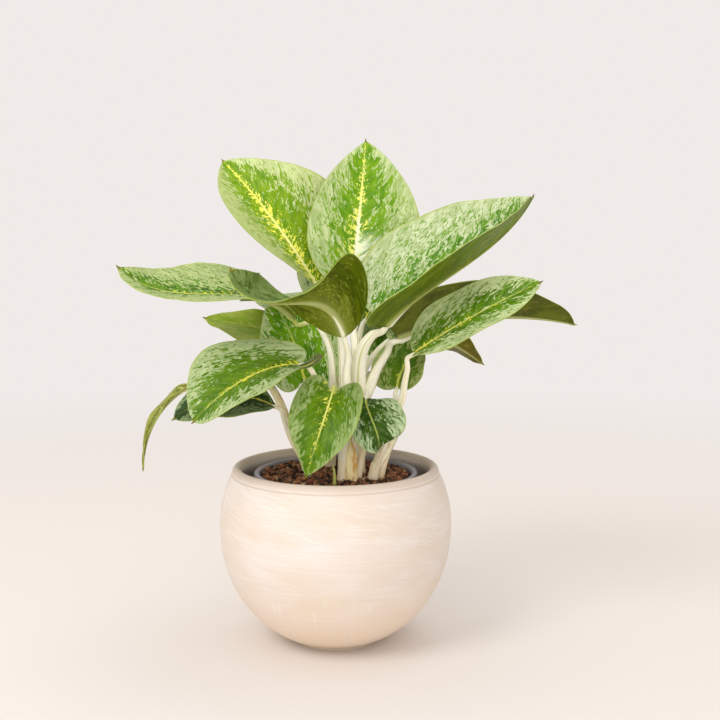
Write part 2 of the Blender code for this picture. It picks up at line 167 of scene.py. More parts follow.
# How each leaf differs from the usual one: colours from 0 to 255, lengths in mm. Some of it is painted
# light: leaf_left_low has darker greens for the shade it stands in, the two top leaves have lighter greens
# for the bright light on them, and two shares lay on painted shade and a painted highlight
USUAL = {
    "core": (78, 122, 4),
    "deep": (48, 92, 4),
    "silver": (150, 170, 112),
    "pale": (182, 196, 134),
    "rib": (226, 222, 70),
    "line": 0.7,
    "line_end": 0.72,
    "cream": 0.1,
    "painted_shade": 0.0,
    "feather": 4.0,
    "dense": 0.3,
    "core_edge": 0.5,
    "soft": 0.03,
    "specks": 0.5,
    "flecks": 0.5,
    "painted_highlight": 0.0,
    "under": (92, 108, 4),
    "under_fleck_and_glow": (150, 158, 50),
}

LOOKS = {
    # The two top leaves' greens are painted lighter for the bright light on them
    "leaf_top_left": dict(core=(124, 160, 2), deep=(98, 140, 0), silver=(180, 194, 130),
        pale=(198, 212, 148), rib=(252, 246, 96), line=1.2, line_end=0.86, cream=0.35, painted_shade=0.55,
        feather=13, dense=1, core_edge=0.54, specks=0.7, flecks=0.7),
    "leaf_top_centre": dict(core=(116, 160, 2), deep=(88, 138, 0), silver=(164, 184, 118),
        pale=(198, 212, 154), rib=(252, 248, 120), line=2.2, line_end=0.8, cream=0.9, feather=14, dense=0.9,
        core_edge=0.45, specks=0.8, painted_highlight=0.85),
    "leaf_front_tall": dict(core=(74, 98, 20), deep=(64, 88, 14), silver=(108, 130, 66),
        pale=(120, 142, 76), rib=(120, 140, 60), line=0.2, feather=0, core_edge=0.06, under=(88, 102, 2),
        under_fleck_and_glow=(150, 158, 62)),
    "leaf_right_big": dict(core=(100, 148, 16), deep=(72, 122, 8), silver=(170, 186, 130),
        pale=(206, 215, 176), feather=6, core_edge=0.34, specks=1, under=(92, 118, 2)),
    "leaf_left_long": dict(core=(90, 132, 14), silver=(154, 172, 108), pale=(178, 192, 126), feather=7,
        core_edge=0.22, specks=0.85),
    "leaf_left_small": dict(core=(130, 158, 26), deep=(118, 146, 20), silver=(134, 154, 38),
        pale=(152, 166, 60), rib=(190, 192, 84), line=0.4, line_end=0.5, feather=9, dense=0.6, specks=0.2,
        flecks=0.1),
    "leaf_left_front": dict(core=(92, 128, 14), deep=(74, 110, 10), silver=(160, 178, 122),
        pale=(180, 195, 142), rib=(228, 224, 52), line=0.8, line_end=0.66, feather=6, dense=0.6,
        core_edge=0.54, soft=0.05, specks=1, flecks=0.3),
    "leaf_left_front_lobe": dict(core=(88, 100, 54), deep=(82, 94, 48), silver=(98, 110, 68),
        pale=(106, 118, 76), line=0.1, feather=0, flecks=0),
    # Greens painted darker: painted shade for the shade this leaf stands in
    "leaf_left_low": dict(core=(44, 70, 12), deep=(30, 54, 8), silver=(104, 124, 80), pale=(134, 152, 108),
        line=0.3, feather=2, specks=1),
    "leaf_left_thin": dict(core=(118, 126, 40), deep=(96, 106, 28), silver=(138, 146, 66),
        pale=(160, 162, 84), rib=(188, 184, 100), specks=0.1, flecks=0.1, under=(110, 114, 40)),
    "leaf_centre_back": dict(core=(112, 164, 0), deep=(76, 128, 0), silver=(184, 206, 144),
        pale=(204, 220, 160), rib=(234, 238, 60), line=1, line_end=0.5, feather=1.5, core_edge=0.66,
        flecks=1),
    "leaf_front_heart": dict(core=(90, 126, 0), deep=(68, 106, 0), silver=(130, 152, 84),
        pale=(148, 168, 106), rib=(226, 226, 84), line=0.55, line_end=0.56, cream=0.15, feather=9,
        dense=0.35, core_edge=0.66, soft=0.16, specks=0.9, flecks=0),
    "leaf_front_low": dict(core=(60, 94, 6), deep=(44, 76, 2), silver=(138, 160, 112), pale=(182, 200, 154),
        rib=(186, 198, 40), line=0.6, line_end=0.9, feather=0.6, core_edge=0.46, specks=0.9),
    "leaf_right_front": dict(core=(94, 134, 14), deep=(72, 110, 10), silver=(168, 186, 128),
        pale=(200, 212, 156), rib=(224, 224, 70), line=0.8, line_end=0.7, feather=8, core_edge=0.44,
        specks=1),
    "leaf_right_back": dict(core=(84, 120, 10), deep=(60, 98, 8), silver=(136, 154, 86),
        pale=(160, 174, 104), rib=(206, 208, 60), line=0.9, line_end=0.7, specks=0.9),
    "leaf_right_far": dict(under=(84, 94, 14), under_fleck_and_glow=(110, 112, 48)),
    "leaf_right_low": dict(under=(108, 102, 18), under_fleck_and_glow=(146, 140, 66)),
}

# Other leaf colours, from 0 to 255, and what the underside's own is multiplied by in its two shades
RIB_CREAM = (255, 253, 226)
# Painted shade colour, for a leaf half turned away from the light
LEAF_PAINTED_SHADE = (146, 162, 88)
# Painted highlight colour, for a glare patch laid on a leaf
LEAF_PAINTED_HIGHLIGHT = (240, 246, 214)
LEAF_MARGIN = (160, 176, 50)
LEAF_TIP = (120, 112, 30)
UNDER_RIB = (188, 194, 124)
UNDER_MARGIN = (150, 164, 62)
UNDER_DARKER = (0.84, 0.85, 0.8)
UNDER_LIGHTER = (1.14, 1.12, 1.2)

# Stem and husk colours, from 0 to 255
STEM_CREAM = (246, 240, 208)
STEM_LIGHT = (255, 253, 236)
STEM_TIP = (196, 208, 140)
STEM_LINE = (176, 184, 70)
STEM_LOW = (244, 220, 184)
STEM_SOILED = (176, 142, 96)
STEM_GREEN = (158, 174, 30)
STEM_YELLOW = (206, 214, 80)
HUSK_PALE = (255, 238, 178)
HUSK_BROWN = (214, 158, 60)

# Pot colours, from 0 to 255, and how far along its profile the inside ends, in mm. The inside colour is bare
# clay darkened further with painted shade
POT_TAN = (221, 207, 191)
POT_CREAM = (226, 216, 208)
POT_WHITE = (237, 232, 228)
POT_LINE = (212, 194, 178)
POT_LOW = (241, 217, 187)
POT_RIM = (196, 178, 160)
POT_SPECK = (184, 162, 142)
POT_INSIDE_SHADE = (106, 88, 72)
INNER_RUN = 150

# Nursery pot and soil colours, from 0 to 255, and how many grains there are to a mm
PLASTIC_DARK = (116, 110, 120)
PLASTIC_LIGHT = (146, 140, 150)
PLASTIC_DUST = (120, 96, 78)
SOIL_DARK = (30, 17, 9)
SOIL_LIGHT = (164, 112, 76)
SOIL_WARM = (142, 76, 44)
SOIL_PALE = (186, 158, 122)
GRAINS = 1.1


class Value:
    """A number or colour that a material works out at each point."""

    def __init__(self, paint, socket):
        self.paint = paint
        self.socket = socket

    def __add__(self, other):
        return self.paint.math("ADD", self, other)

    def __sub__(self, other):
        return self.paint.math("SUBTRACT", self, other)

    def __rsub__(self, other):
        return self.paint.math("SUBTRACT", other, self)

    def __mul__(self, other):
        return self.paint.math("MULTIPLY", self, other)

    def __truediv__(self, other):
        return self.paint.math("DIVIDE", self, other)

    def __pow__(self, other):
        return self.paint.math("POWER", self, other)

    def __abs__(self):
        return self.paint.math("ABSOLUTE", self)

    def rise(self, low, high):
        """0 below low, 1 above high, and an eased rise between them."""
        node = self.paint.tree.nodes.new("ShaderNodeMapRange")
        node.interpolation_type = "SMOOTHSTEP"
        self.paint.fill(node, {"Value": self, "From Min": low, "From Max": high})
        return Value(self.paint, node.outputs["Result"])


class Paint:
    """One material, with short ways to add nodes to it."""

    def __init__(self, name, roughness=0.5):
        self.material = bpy.data.materials.new(name)
        self.material.use_nodes = True
        self.tree = self.material.node_tree
        self.tree.nodes.clear()
        self.shader = self.tree.nodes.new("ShaderNodeBsdfPrincipled")
        self.fill(self.shader, {"Roughness": roughness})
        output = self.tree.nodes.new("ShaderNodeOutputMaterial")
        self.tree.links.new(self.shader.outputs["BSDF"], output.inputs["Surface"])

    def fill(self, node, inputs):
        """Sets inputs of a node to values of this material, colours or numbers."""
        for key, value in inputs.items():
            socket = node.inputs[key]
            if isinstance(value, Value):
                self.tree.links.new(value.socket, socket)
            elif socket.type == "RGBA":
                socket.default_value = (*srgb(*value), 1)
            else:
                socket.default_value = value

    def math(self, how, *values):
        node = self.tree.nodes.new("ShaderNodeMath")
        node.operation = how
        self.fill(node, dict(enumerate(values)))
        return Value(self, node.outputs[0])

    def parts(self, socket):
        node = self.tree.nodes.new("ShaderNodeSeparateXYZ")
        self.fill(node, {0: Value(self, socket)})
        return [Value(self, part) for part in node.outputs]

    def mark(self, name):
        """The three numbers kept at each point under a name."""
        node = self.tree.nodes.new("ShaderNodeAttribute")
        node.attribute_name = name
        return self.parts(node.outputs["Vector"])

    @functools.cached_property
    def place(self):
        """The point itself, in mm."""
        node = self.tree.nodes.new("ShaderNodeTexCoord")
        return [part * (1 / MM) for part in self.parts(node.outputs["Object"])]

    def noise(self, x, y, z, detail=2.0, rough=0.5, bend=0.0):
        vector = self.tree.nodes.new("ShaderNodeCombineXYZ")
        self.fill(vector, {0: x, 1: y, 2: z})
        node = self.tree.nodes.new("ShaderNodeTexNoise")
        self.fill(node, {"Vector": Value(self, vector.outputs[0]), "Scale": 1.0, "Detail": detail,
                         "Roughness": rough, "Distortion": bend})
        return Value(self, node.outputs["Fac"])

    def grain(self, wide, deep, high, detail=2.0, rough=0.5):
        """Noise through the whole piece, with its sizes in mm along the three axes."""
        x, y, z = self.place
        return self.noise(x * (1 / wide), y * (1 / deep), z * (1 / high), detail, rough)

    def mix(self, base, other, share):
        """The base where the share is 0, the other where it is 1."""
        node = self.tree.nodes.new("ShaderNodeMix")
        node.data_type = "RGBA"
        self.fill(node, {0: share, 6: base, 7: other})
        return Value(self, node.outputs[2])

    def coats(self, base, *coats):
        """Colours the surface: each coat is a colour and the share of it laid over what is below."""
        for colour, share in coats:
            base = self.mix(base, colour, share)
        self.fill(self.shader, {"Base Color": base})

    def rough(self, value):
        self.fill(self.shader, {"Roughness": value})

    def bump(self, height, distance_mm, strength):
        node = self.tree.nodes.new("ShaderNodeBump")
        self.fill(node, {"Strength": strength, "Distance": distance_mm * MM, "Height": height})
        self.tree.links.new(node.outputs["Normal"], self.shader.inputs["Normal"])


class LeafPaint(Paint):
    """A material that knows the veins of its leaf."""

    def __init__(self, spec, side):
        super().__init__(spec["name"] + "_" + side)
        self.look = {**USUAL, **LOOKS.get(spec["name"], {})}
        self.vein, self.across, self.sign = self.mark("vein")
        self.reach, self.along, self.seed = self.mark("place")
        self.fill(self.shader, {"Specular IOR Level": LEAF_GLOSS})

    def streaks(self, fine, long, shift, detail=2.0, bend=0.0):
        """Noise drawn out along the slanting side veins: fine and long are its sizes in mm."""
        x = self.vein * (VEIN_SLANT / fine)
        y = self.across * (1 / VEIN_SLANT / long)
        return self.noise(x, y, self.seed + shift, detail, 0.5, bend)

    def veins(self):
        """1 on each side vein, falling off quickly to its sides."""
        drift = self.streaks(30, 40, 31) * 5
        wave = self.math("COSINE", (self.vein + drift) * (2 * math.pi / VEIN_SPACING))
        return (wave * 0.5 + 0.5) ** 10


def leaf_zones(paint):
    """The green core with pale flecks, set raggedly into the silvery zone with dark specks."""
    look = paint.look
    patches = paint.streaks(6.0, 9, 0, 2.0, 0.5) - 0.5
    islands = paint.streaks(2.1, 3.2, 3, 1.5, 0.6) - 0.5
    edge = paint.reach + (patches * 1.4 + islands * 1.5)
    core = edge.rise(look["core_edge"] + look["soft"], look["core_edge"] - look["soft"])
    green = paint.mix(look["deep"], look["core"], paint.streaks(6, 10, 5, 3.0, 0.4).rise(0.36, 0.64))
    silver = paint.mix(look["silver"], look["pale"], paint.streaks(5, 8, 8, 3.0, 0.5).rise(0.34, 0.66))
    crowding = (paint.streaks(9, 12, 15) - 0.5) * 0.4 + paint.reach.rise(0.95, 0.45) * 0.04
    speck_level = 0.67 - 0.1 * look["specks"]
    specks = (paint.streaks(1.5, 2.5, 11, 1.0, 0.5) + crowding).rise(speck_level, speck_level + 0.05)
    zone = paint.mix(silver, look["core"], specks * paint.reach.rise(0.98, 0.9) * 0.85)
    fleck_level = 0.71 - 0.1 * look["flecks"]
    flecks = paint.streaks(1.7, 3.0, 17, 1.5, 0.6).rise(fleck_level, fleck_level + 0.06)
    inside = paint.mix(green, look["pale"], flecks * 0.75)
    return paint.mix(zone, inside, core)


def leaf_feather(paint):
    """Where the rib is yellow: a line along it, and broken flames and loose dots beside it."""
    look = paint.look
    thin = (1.0 - paint.along) ** 1.2
    beads = paint.streaks(1.6, 30, 19).rise(0.35, 0.65)
    line_width = beads * thin * (1.15 * look["line"]) + 0.16 + thin * (0.2 * look["line"])
    gaps = (paint.streaks(1.6, 30, 33, 1.0) - 0.5) * 1.2
    ending = (paint.along + gaps).rise(look["line_end"] + 0.12, look["line_end"] - 0.12)
    line = (paint.across / line_width).rise(1.3, 0.8) * ending
    groups = paint.streaks(4.0, 60, 21).rise(0.25, 0.6)
    share = paint.across / (groups * thin * look["feather"] + 0.2)
    flame_level = share * 0.1 + (0.545 - 0.06 * look["dense"])
    flames = (paint.streaks(1.6, 7.0, 23, 2.5, 0.4) - flame_level).rise(0.0, 0.04)
    dots = paint.streaks(1.3, 2.0, 27, 1.0, 0.5).rise(0.6, 0.64) * (share.rise(1.7, 1.2) * look["dense"])
    return line, paint.math("MAXIMUM", flames * share.rise(1.15, 0.8), dots)


def leaf_above(spec):
    """The patterned upper side, with its yellow rib, side veins and fine margin."""
    paint = LeafPaint(spec, "above")
    look = paint.look
    across = paint.across
    along = paint.along
    reach = paint.reach
    veins = paint.veins()
    line, flames = leaf_feather(paint)
    middle = paint.mix(look["rib"], RIB_CREAM, along.rise(0.75, 0.35) * look["cream"])
    # Painted shade: a greyish olive laid over the outer part of the left half, which is turned away from the
    # light
    painted_shade = paint.sign.rise(0.0, -0.5) * reach.rise(0.25, 0.6)
    # Painted highlight: a pale glare patch on the right half towards the base, as strong as the leaf's share
    # for it
    painted_highlight = along.rise(0.42, 0.3) * reach.rise(0.85, 0.45) * (paint.sign.rise(0.0, 0.5) * look["painted_highlight"])
    paint.coats(
        leaf_zones(paint),
        (look["rib"], flames * 0.85),
        (look["pale"], across.rise(1.0, 0.3) * along.rise(1.0, 0.7) * 0.35),
        (middle, line * 0.9),
        (LEAF_PAINTED_SHADE, painted_shade * look["painted_shade"]),
        (LEAF_PAINTED_HIGHLIGHT, painted_highlight * paint.streaks(2.0, 12, 29).rise(0.25, 0.6)),
        (look["pale"], veins * 0.08),
        (LEAF_MARGIN, reach.rise(0.97, 0.99) * 0.6),
        (LEAF_TIP, along.rise(0.985, 1.0)),
    )
    paint.rough(paint.streaks(2, 4, 25) * 0.2 + 0.32)
    cells = paint.noise(paint.vein * 1.6, across * 1.6, paint.seed)
    paint.bump(veins * -0.5 + cells * 0.5, 0.25, 0.5)
    return paint.material


def leaf_below(spec):
    """The duller underside, with blotchy pale flecks and a pale raised midrib."""
    paint = LeafPaint(spec, "below")
    dark = [c * share for c, share in zip(paint.look["under"], UNDER_DARKER)]
    light = [c * share for c, share in zip(paint.look["under"], UNDER_LIGHTER)]
    fleck_and_glow = paint.look["under_fleck_and_glow"]
    veins = paint.veins()
    shade = paint.streaks(8, 12, 2, 3.0, 0.5).rise(0.35, 0.65)
    crowding = (paint.streaks(12, 14, 12) - 0.5) * 0.5
    flecks = (paint.streaks(1.6, 2.8, 9, 2.0, 0.8) + crowding).rise(0.56, 0.66)
    narrowing = 1.0 - paint.along
    paint.coats(
        paint.mix(dark, light, shade),
        (fleck_and_glow, flecks * 0.65),
        (fleck_and_glow, veins * 0.08),
        # Painted light: a lighter band beside the midrib, fading towards the tip, for light shining through
        # the leaf there
        (fleck_and_glow, paint.across.rise(15, 2) * narrowing * 0.45),
        (UNDER_RIB, (paint.across / (narrowing * 2.4 + 0.4)).rise(1.7, 0.3) * 0.85),
        (UNDER_MARGIN, paint.reach.rise(0.97, 0.99) * 0.5),
    )
    paint.rough(shade * 0.12 + 0.42)
    paint.bump(veins * 0.7 + paint.streaks(2, 3, 6) * 0.4, 0.25, 0.5)
    return paint.material


def shoot_material(name):
    """Creamy stems with fine lengthwise streaks, yellow-green edges, and greener or drier stalks."""
    paint = Paint(name + "_skin", 0.45)
    share, facing, run = paint.mark("stem")
    greener, drier, turn = paint.mark("tint")
    z = paint.place[2]
    streaks = paint.noise(facing * 5, run * (1 / 40), run * (1 / 90), 3.0)
    blotches = paint.noise(turn * 2.2, run * (1 / 11), z * (1 / 30), 3.0, 0.6) + turn * 0.12
    paint.coats(
        paint.mix(STEM_CREAM, STEM_LIGHT, streaks.rise(0.35, 0.65)),
        (STEM_TIP, (share + streaks * 0.3).rise(0.75, 1.2) * 0.6),
        (STEM_LINE, abs(facing - 0.5).rise(0.16, 0.03) * share.rise(0.8, 0.3) * 0.75),
        (STEM_LOW, (z + streaks * 14).rise(170, 136) * 0.6),
        (STEM_SOILED, (z + streaks * 8).rise(134, 129) * 0.5),
        (paint.mix(STEM_GREEN, STEM_YELLOW, streaks), (share + greener).rise(1.0, 1.15) * 0.85),
        (paint.mix(HUSK_PALE, HUSK_BROWN, blotches.rise(0.5, 0.66)), drier),
    )
    paint.bump(paint.noise(facing * 14, run * (1 / 30), 3.0), 0.2, 0.4)
    return paint.material


def pot_material():
    """Fired clay under a brushed whitewash: curved strokes above, thin level lines, a warmer foot, and an
    inside of bare clay darkened with painted shade.
    """
    paint = Paint("pot_glaze", 0.6)
    run, height, radius = paint.mark("pot")
    x, y, z = paint.place
    slant = z + x * 0.3 + paint.grain(90, 90, 60) * 30
    strokes = paint.noise(slant * (1 / 1.3), x * (1 / 42), y * (1 / 42), 3.0, 0.7)
    wide = paint.noise(slant * (1 / 7), x * (1 / 46), y * (1 / 46))
    level = paint.grain(50, 50, 0.8, 3.0, 0.7)
    cloud = paint.grain(34, 34, 22, 3.0)
    fine = paint.noise(x * GRAINS, y * GRAINS, z * GRAINS, 1.0)
    upper = z.rise(35, 85) * 0.75 + 0.25
    drips = paint.noise(x / radius * 16, run * (1 / 26), y / radius, 4.0, 0.65)
    inner = run.rise(INNER_RUN + 4, INNER_RUN - 4)
    groove = abs(height - GROOVE_Z).rise(0.9, 0.2) * 0.45 * radius.rise(74, 76.5)
    paint.coats(
        paint.mix(POT_TAN, POT_CREAM, cloud.rise(0.3, 0.7)),
        (POT_WHITE, strokes.rise(0.46, 0.7) * wide.rise(0.38, 0.6) * upper * 0.55),
        (POT_LINE, level.rise(0.48, 0.64) * cloud.rise(0.35, 0.6) * 0.3),
        (POT_WHITE, level.rise(0.46, 0.34) * 0.25),
        (POT_LOW, z.rise(75, 0) * 0.6),
        (POT_WHITE, drips.rise(0.56, 0.78) * (z.rise(66, 40) * z.rise(4, 16)) * 0.8),
        (POT_SPECK, fine.rise(0.76, 0.79) * 0.5),
        # Painted shade: the inside is bare clay painted much darker for the shade within the pot
        (POT_INSIDE_SHADE, inner),
        (POT_RIM, z.rise(POT_LIP_Z - 0.5, POT_LIP_Z + 3) * 0.7 * (1.0 - inner)),
        (POT_SPECK, groove),
        (POT_RIM, z.rise(5.5, 2.5) * 0.5),
    )
    paint.rough(strokes * 0.2 + 0.48)
    paint.bump(strokes * 0.5 + (level + fine) * 0.4, 0.25, 0.4)
    return paint.material


def nursery_material():
    """Thin grey plastic with a satin finish, a faint cloudy tone and a little dust of soil."""
    paint = Paint("nursery_plastic", 0.42)
    cloud = paint.grain(9, 9, 5, 3.0)
    dust = paint.grain(1.5, 1.5, 1.5)
    paint.coats(paint.mix(PLASTIC_DARK, PLASTIC_LIGHT, cloud), (PLASTIC_DUST, dust.rise(0.6, 0.7) * 0.4))
    paint.bump(cloud, 0.1, 0.4)
    return paint.material


def soil_material():
    """Moist peat and bark: each crumb has its own shade."""
    paint = Paint("soil_crumbs", 0.95)
    shade, warm, pale = paint.mark("crumb")
    x, y, z = paint.place
    fine = paint.noise(x * GRAINS, y * GRAINS, z * GRAINS, 4.0, 0.7)
    paint.coats(
        paint.mix(SOIL_DARK, SOIL_LIGHT, (shade * 0.6 + fine * 0.5).rise(0.3, 0.82)),
        (SOIL_WARM, warm.rise(0.6, 1.0) * 0.5),
        (SOIL_PALE, pale.rise(0.93, 0.97) * 0.8),
    )
    paint.bump(fine, 0.6, 0.8)
    return paint.material


def pair(value):
    """The same value for both halves, unless two are given."""
    return value if isinstance(value, tuple) else (value, value)


def leaf(name, shoot, rib, face, widths, fold, stalk, curl=0, face_tip=None, widest=0.38,
         sharp=0.78, lobe=0, wave=1.2, radii=(STALK_BASE_RADIUS, STALK_END_RADIUS)):
    """One leaf. Seen from its base with its upper side facing up, pairs are (left half, right half),
    and a single number holds for both.

    rib: points of the midrib from base to tip. face: where the upper side faces at the base, and
    face_tip at the tip. fold: degrees by which a half stands up from flat at the rib. curl: degrees
    by which it bends further up on the way to its margin. widest: where along the blade it is widest.
    sharp: how soon it narrows to its tip. lobe: how far its base reaches back. wave: height of the
    margin's waves. stalk: points from the cane to the blade. radii: of the stalk at its two ends.
    """
    return {
        "name": name,
        "shoot": shoot,
        "rib": [Vector(p) for p in rib],
        "face": Vector(face),
        "face_tip": Vector(face_tip or face),
        "widths": pair(widths),
        "fold": pair(fold),
        "curl": pair(curl),
        "widest": pair(widest),
        "sharp": pair(sharp),
        "lobe": pair(lobe),
        "wave": wave,
        "stalk": [Vector(p) for p in stalk],
        "radii": radii,
    }


# Each shoot's cane: foot on the soil, top, and its two radii
CANES = {
    "shoot_left": ((-21, 2), (-22, 1, 138), (4.2, 3.2)),
    "shoot_inner_left": ((-5, 16), (-3, 6, 178), (4.6, 3.4)),
    "shoot_front": ((6, -30), (6, -27, 172), (4.8, 3.4)),
    "shoot_centre": ((16, -10), (17, -11, 192), (5.4, 5.0)),
    "shoot_right": ((26, -24), (29, -23, 138), (4.2, 3.4)),
    "shoot_back": ((12, 22), (11, 22, 167), (5.0, 3.8)),
}

LEAVES = [
    leaf("leaf_top_left", "shoot_front", rib=[(-14, 12, 267), (-50, 16, 320), (-85, 42, 359)],
         face=(0.4, -0.85, 0.3), face_tip=(-0.05, -0.97, 0.1), widths=(24, 54), fold=(8, 0), curl=(14, 8),
         widest=(0.58, 0.33), sharp=(0.66, 0.98),
         stalk=[(5, -20, 182), (5, -15, 202), (4, -8, 226), (0, 4, 248)]),
    leaf("leaf_top_centre", "shoot_centre", rib=[(12, 10, 262), (18, 17, 318), (23, 30, 373)],
         face=(-0.05, -0.97, 0.25), widths=(38, 47), fold=(10, 0), curl=(10, 0), sharp=(0.88, 0.8),
         stalk=[(16, -5, 202), (14, 0, 226), (12, 6, 246)]),
    leaf("leaf_front_tall", "shoot_front",
         rib=[(6, -32, 232), (-22, -52, 258), (-50, -70, 261), (-70, -72, 281)], face=(-0.1, 0.9, 0.6),
         face_tip=(0.5, -1.1, 0.8), widths=(45, 29), fold=(42, 4), widest=(0.4, 0.5), sharp=(0.75, 0.5),
         stalk=[(8, -26, 192), (8, -27, 205), (9, -29, 218)]),
    leaf("leaf_right_big", "shoot_centre",
         rib=[(37, -8, 238), (81, -20, 274), (121, -22, 305), (141, -20, 331)], face=(-0.6, -0.45, 0.66),
         widths=(53, 56), fold=(40, 45), lobe=(6, 2), widest=0.32, sharp=0.62,
         stalk=[(17, -12, 208), (20, -11, 221), (27, -10, 231)], radii=(5, 2)),
    leaf("leaf_left_long", "shoot_inner_left",
         rib=[(-30, 2, 242), (-90, -19, 262), (-125, -22, 265), (-154, -24, 281)], face=(0.1, -0.2, 0.95),
         face_tip=(0.1, -0.55, 0.8), widths=(28, 38), fold=(18, 10), widest=(0.45, 0.38),
         stalk=[(-2, 1, 197), (-3, 2, 214), (-7, 5, 227), (-16, 6, 239)]),
    leaf("leaf_left_small", "shoot_inner_left", rib=[(-33, 25, 227), (-69, 42, 234), (-101, 50, 239)],
         face=(0.1, -0.5, 0.85), widths=(26, 19), fold=10, stalk=[(-6, 14, 192), (-16, 21, 212)]),
    leaf("leaf_left_front", "shoot_left",
         rib=[(-25, -34, 213), (-50, -52, 211), (-77, -68, 197), (-97, -72, 178)], face=(-0.2, -0.6, 0.75),
         widths=(23, 45), fold=(8, 0), lobe=(0, 34), widest=0.52, sharp=0.62,
         stalk=[(-17, -6, 158), (-13, -22, 184), (-15, -30, 203)]),
    leaf("leaf_left_low", "shoot_left", rib=[(-44, -16, 180), (-79, -26, 189), (-116, -30, 173)],
         face=(0, -0.6, 0.8), widths=(25, 20), fold=10, widest=0.5, stalk=[(-31, -1, 154), (-37, -8, 167)]),
    leaf("leaf_left_thin", "shoot_left",
         rib=[(-107, -12, 195), (-123, -12, 183), (-136, -12, 163), (-142, -12, 133)],
         face=(-0.85, -0.3, 0.4), widths=8, fold=12,
         stalk=[(-33, 6, 154), (-40, 6, 176), (-53, 7, 196), (-74, 4, 208), (-94, -5, 205)]),
    leaf("leaf_centre_back", "shoot_inner_left", rib=[(-23, 3, 195), (-32, 14, 226), (-49, 20, 257)],
         face=(0.15, -0.9, 0.4), widths=(28, 33), fold=(5, 0), lobe=12,
         stalk=[(-8, 12, 167), (-15, 8, 183)]),
    leaf("leaf_front_heart", "shoot_front", rib=[(-2, -42, 194), (-10, -62, 172), (-21, -62, 137)],
         face=(0, -0.6, 0.8), widths=25, fold=10, widest=0.34, sharp=0.98, lobe=17,
         stalk=[(4, -31, 176), (1, -35, 187)]),
    leaf("leaf_front_low", "shoot_front",
         rib=[(22, -24, 187), (25, -40, 176), (30, -47, 162), (31, -44, 153)], face=(0.1, -0.6, 0.8),
         widths=(24, 21), fold=10, widest=0.5, sharp=0.5, stalk=[(13, -27, 160), (19, -23, 178)]),
    leaf("leaf_right_front", "shoot_right", rib=[(55, -26, 219), (90, -44, 244), (141, -58, 272)],
         face=(-0.3, -0.6, 0.75), widths=(30, 22), fold=8, lobe=(2, 0), widest=(0.36, 0.55),
         sharp=(0.64, 0.58), stalk=[(39, -22, 163), (48, -20, 184), (50, -20, 196), (52, -22, 208)]),
    leaf("leaf_right_far", "shoot_centre",
         rib=[(46, 8, 226), (101, 18, 240), (146, 22, 241), (181, 22, 236)], face=(0, 0.5, 0.85),
         widths=(20, 36), fold=(58, 30), lobe=6, widest=0.28, sharp=0.62,
         stalk=[(24, -12, 190), (30, -8, 205), (38, 0, 217)], radii=(3.6, 2.2)),
    leaf("leaf_right_low", "shoot_back", rib=[(64, 24, 230), (91, 30, 220), (113, 33, 205)],
         face=(0.3, 0.5, 0.8), widths=(22, 16), fold=10,
         stalk=[(18, 18, 192), (27, 18, 210), (42, 20, 225)]),
    leaf("leaf_right_back", "shoot_right", rib=[(45, -4, 191), (51, 3, 207), (65, 9, 224)],
         face=(-0.3, -0.8, 0.4), widths=(23, 20), fold=(10, 20), lobe=5,
         stalk=[(39, -15, 148), (46, -9, 162), (48, -6, 174)]),
    leaf("leaf_back_high", "shoot_back", rib=[(1, 28, 240), (0, 76, 282), (-4, 128, 294)],
         face=(0, -0.35, 0.95), face_tip=(0, 0.3, 0.95), widths=(32, 33), fold=14,
         stalk=[(7, 25, 192), (3, 26, 220)]),
    leaf("leaf_back_high_right", "shoot_back", rib=[(22, 22, 240), (54, 58, 278), (86, 98, 292)],
         face=(-0.2, -0.25, 0.95), face_tip=(0.2, 0.2, 0.95), widths=36, fold=14,
         stalk=[(14, 22, 192), (17, 20, 220)]),
    leaf("leaf_back_high_left", "shoot_back", rib=[(-10, 36, 224), (-42, 74, 247), (-77, 104, 249)],
         face=(0.2, -0.25, 0.95), face_tip=(-0.2, 0.2, 0.95), widths=34, fold=12,
         stalk=[(4, 30, 186), (-3, 33, 208)]),
    leaf("leaf_back_left", "shoot_back", rib=[(-16, 36, 192), (-48, 74, 216), (-82, 104, 204)],
         face=(0.1, -0.2, 0.95), face_tip=(-0.3, 0.35, 0.9), widths=34, fold=12,
         stalk=[(4, 31, 162), (-7, 34, 180)]),
    leaf("leaf_back_right", "shoot_back", rib=[(34, 36, 207), (62, 68, 238), (96, 102, 236)],
         face=(-0.1, -0.2, 0.95), face_tip=(0.3, 0.35, 0.9), widths=(34, 26), fold=12,
         stalk=[(18, 27, 174), (26, 31, 193)]),
    leaf("leaf_back_middle", "shoot_back", rib=[(7, 42, 170), (2, 82, 186), (-4, 118, 160)],
         face=(0, -0.2, 0.95), face_tip=(0, 0.5, 0.8), widths=30, fold=12, lobe=6,
         stalk=[(11, 32, 150), (9, 37, 162)]),
    leaf("leaf_back_low", "shoot_back", rib=[(21, 38, 148), (32, 68, 164), (40, 96, 148)],
         face=(0, -0.2, 0.95), face_tip=(0.2, 0.5, 0.8), widths=24, fold=12, lobe=6,
         stalk=[(15, 29, 137), (18, 33, 142)]),
]

# The near lobe of the left front leaf, curled over its stalk
CURLED_LOBE = leaf("leaf_left_front_lobe", None, rib=[(-28, -38, 211), (-19, -39, 213), (-10, -39, 220)],
                   face=(0, -0.8, 0.6), widths=(3.6, 3.0), fold=(14, 6), widest=0.7, sharp=0.26,
                   stalk=[], wave=0.3)


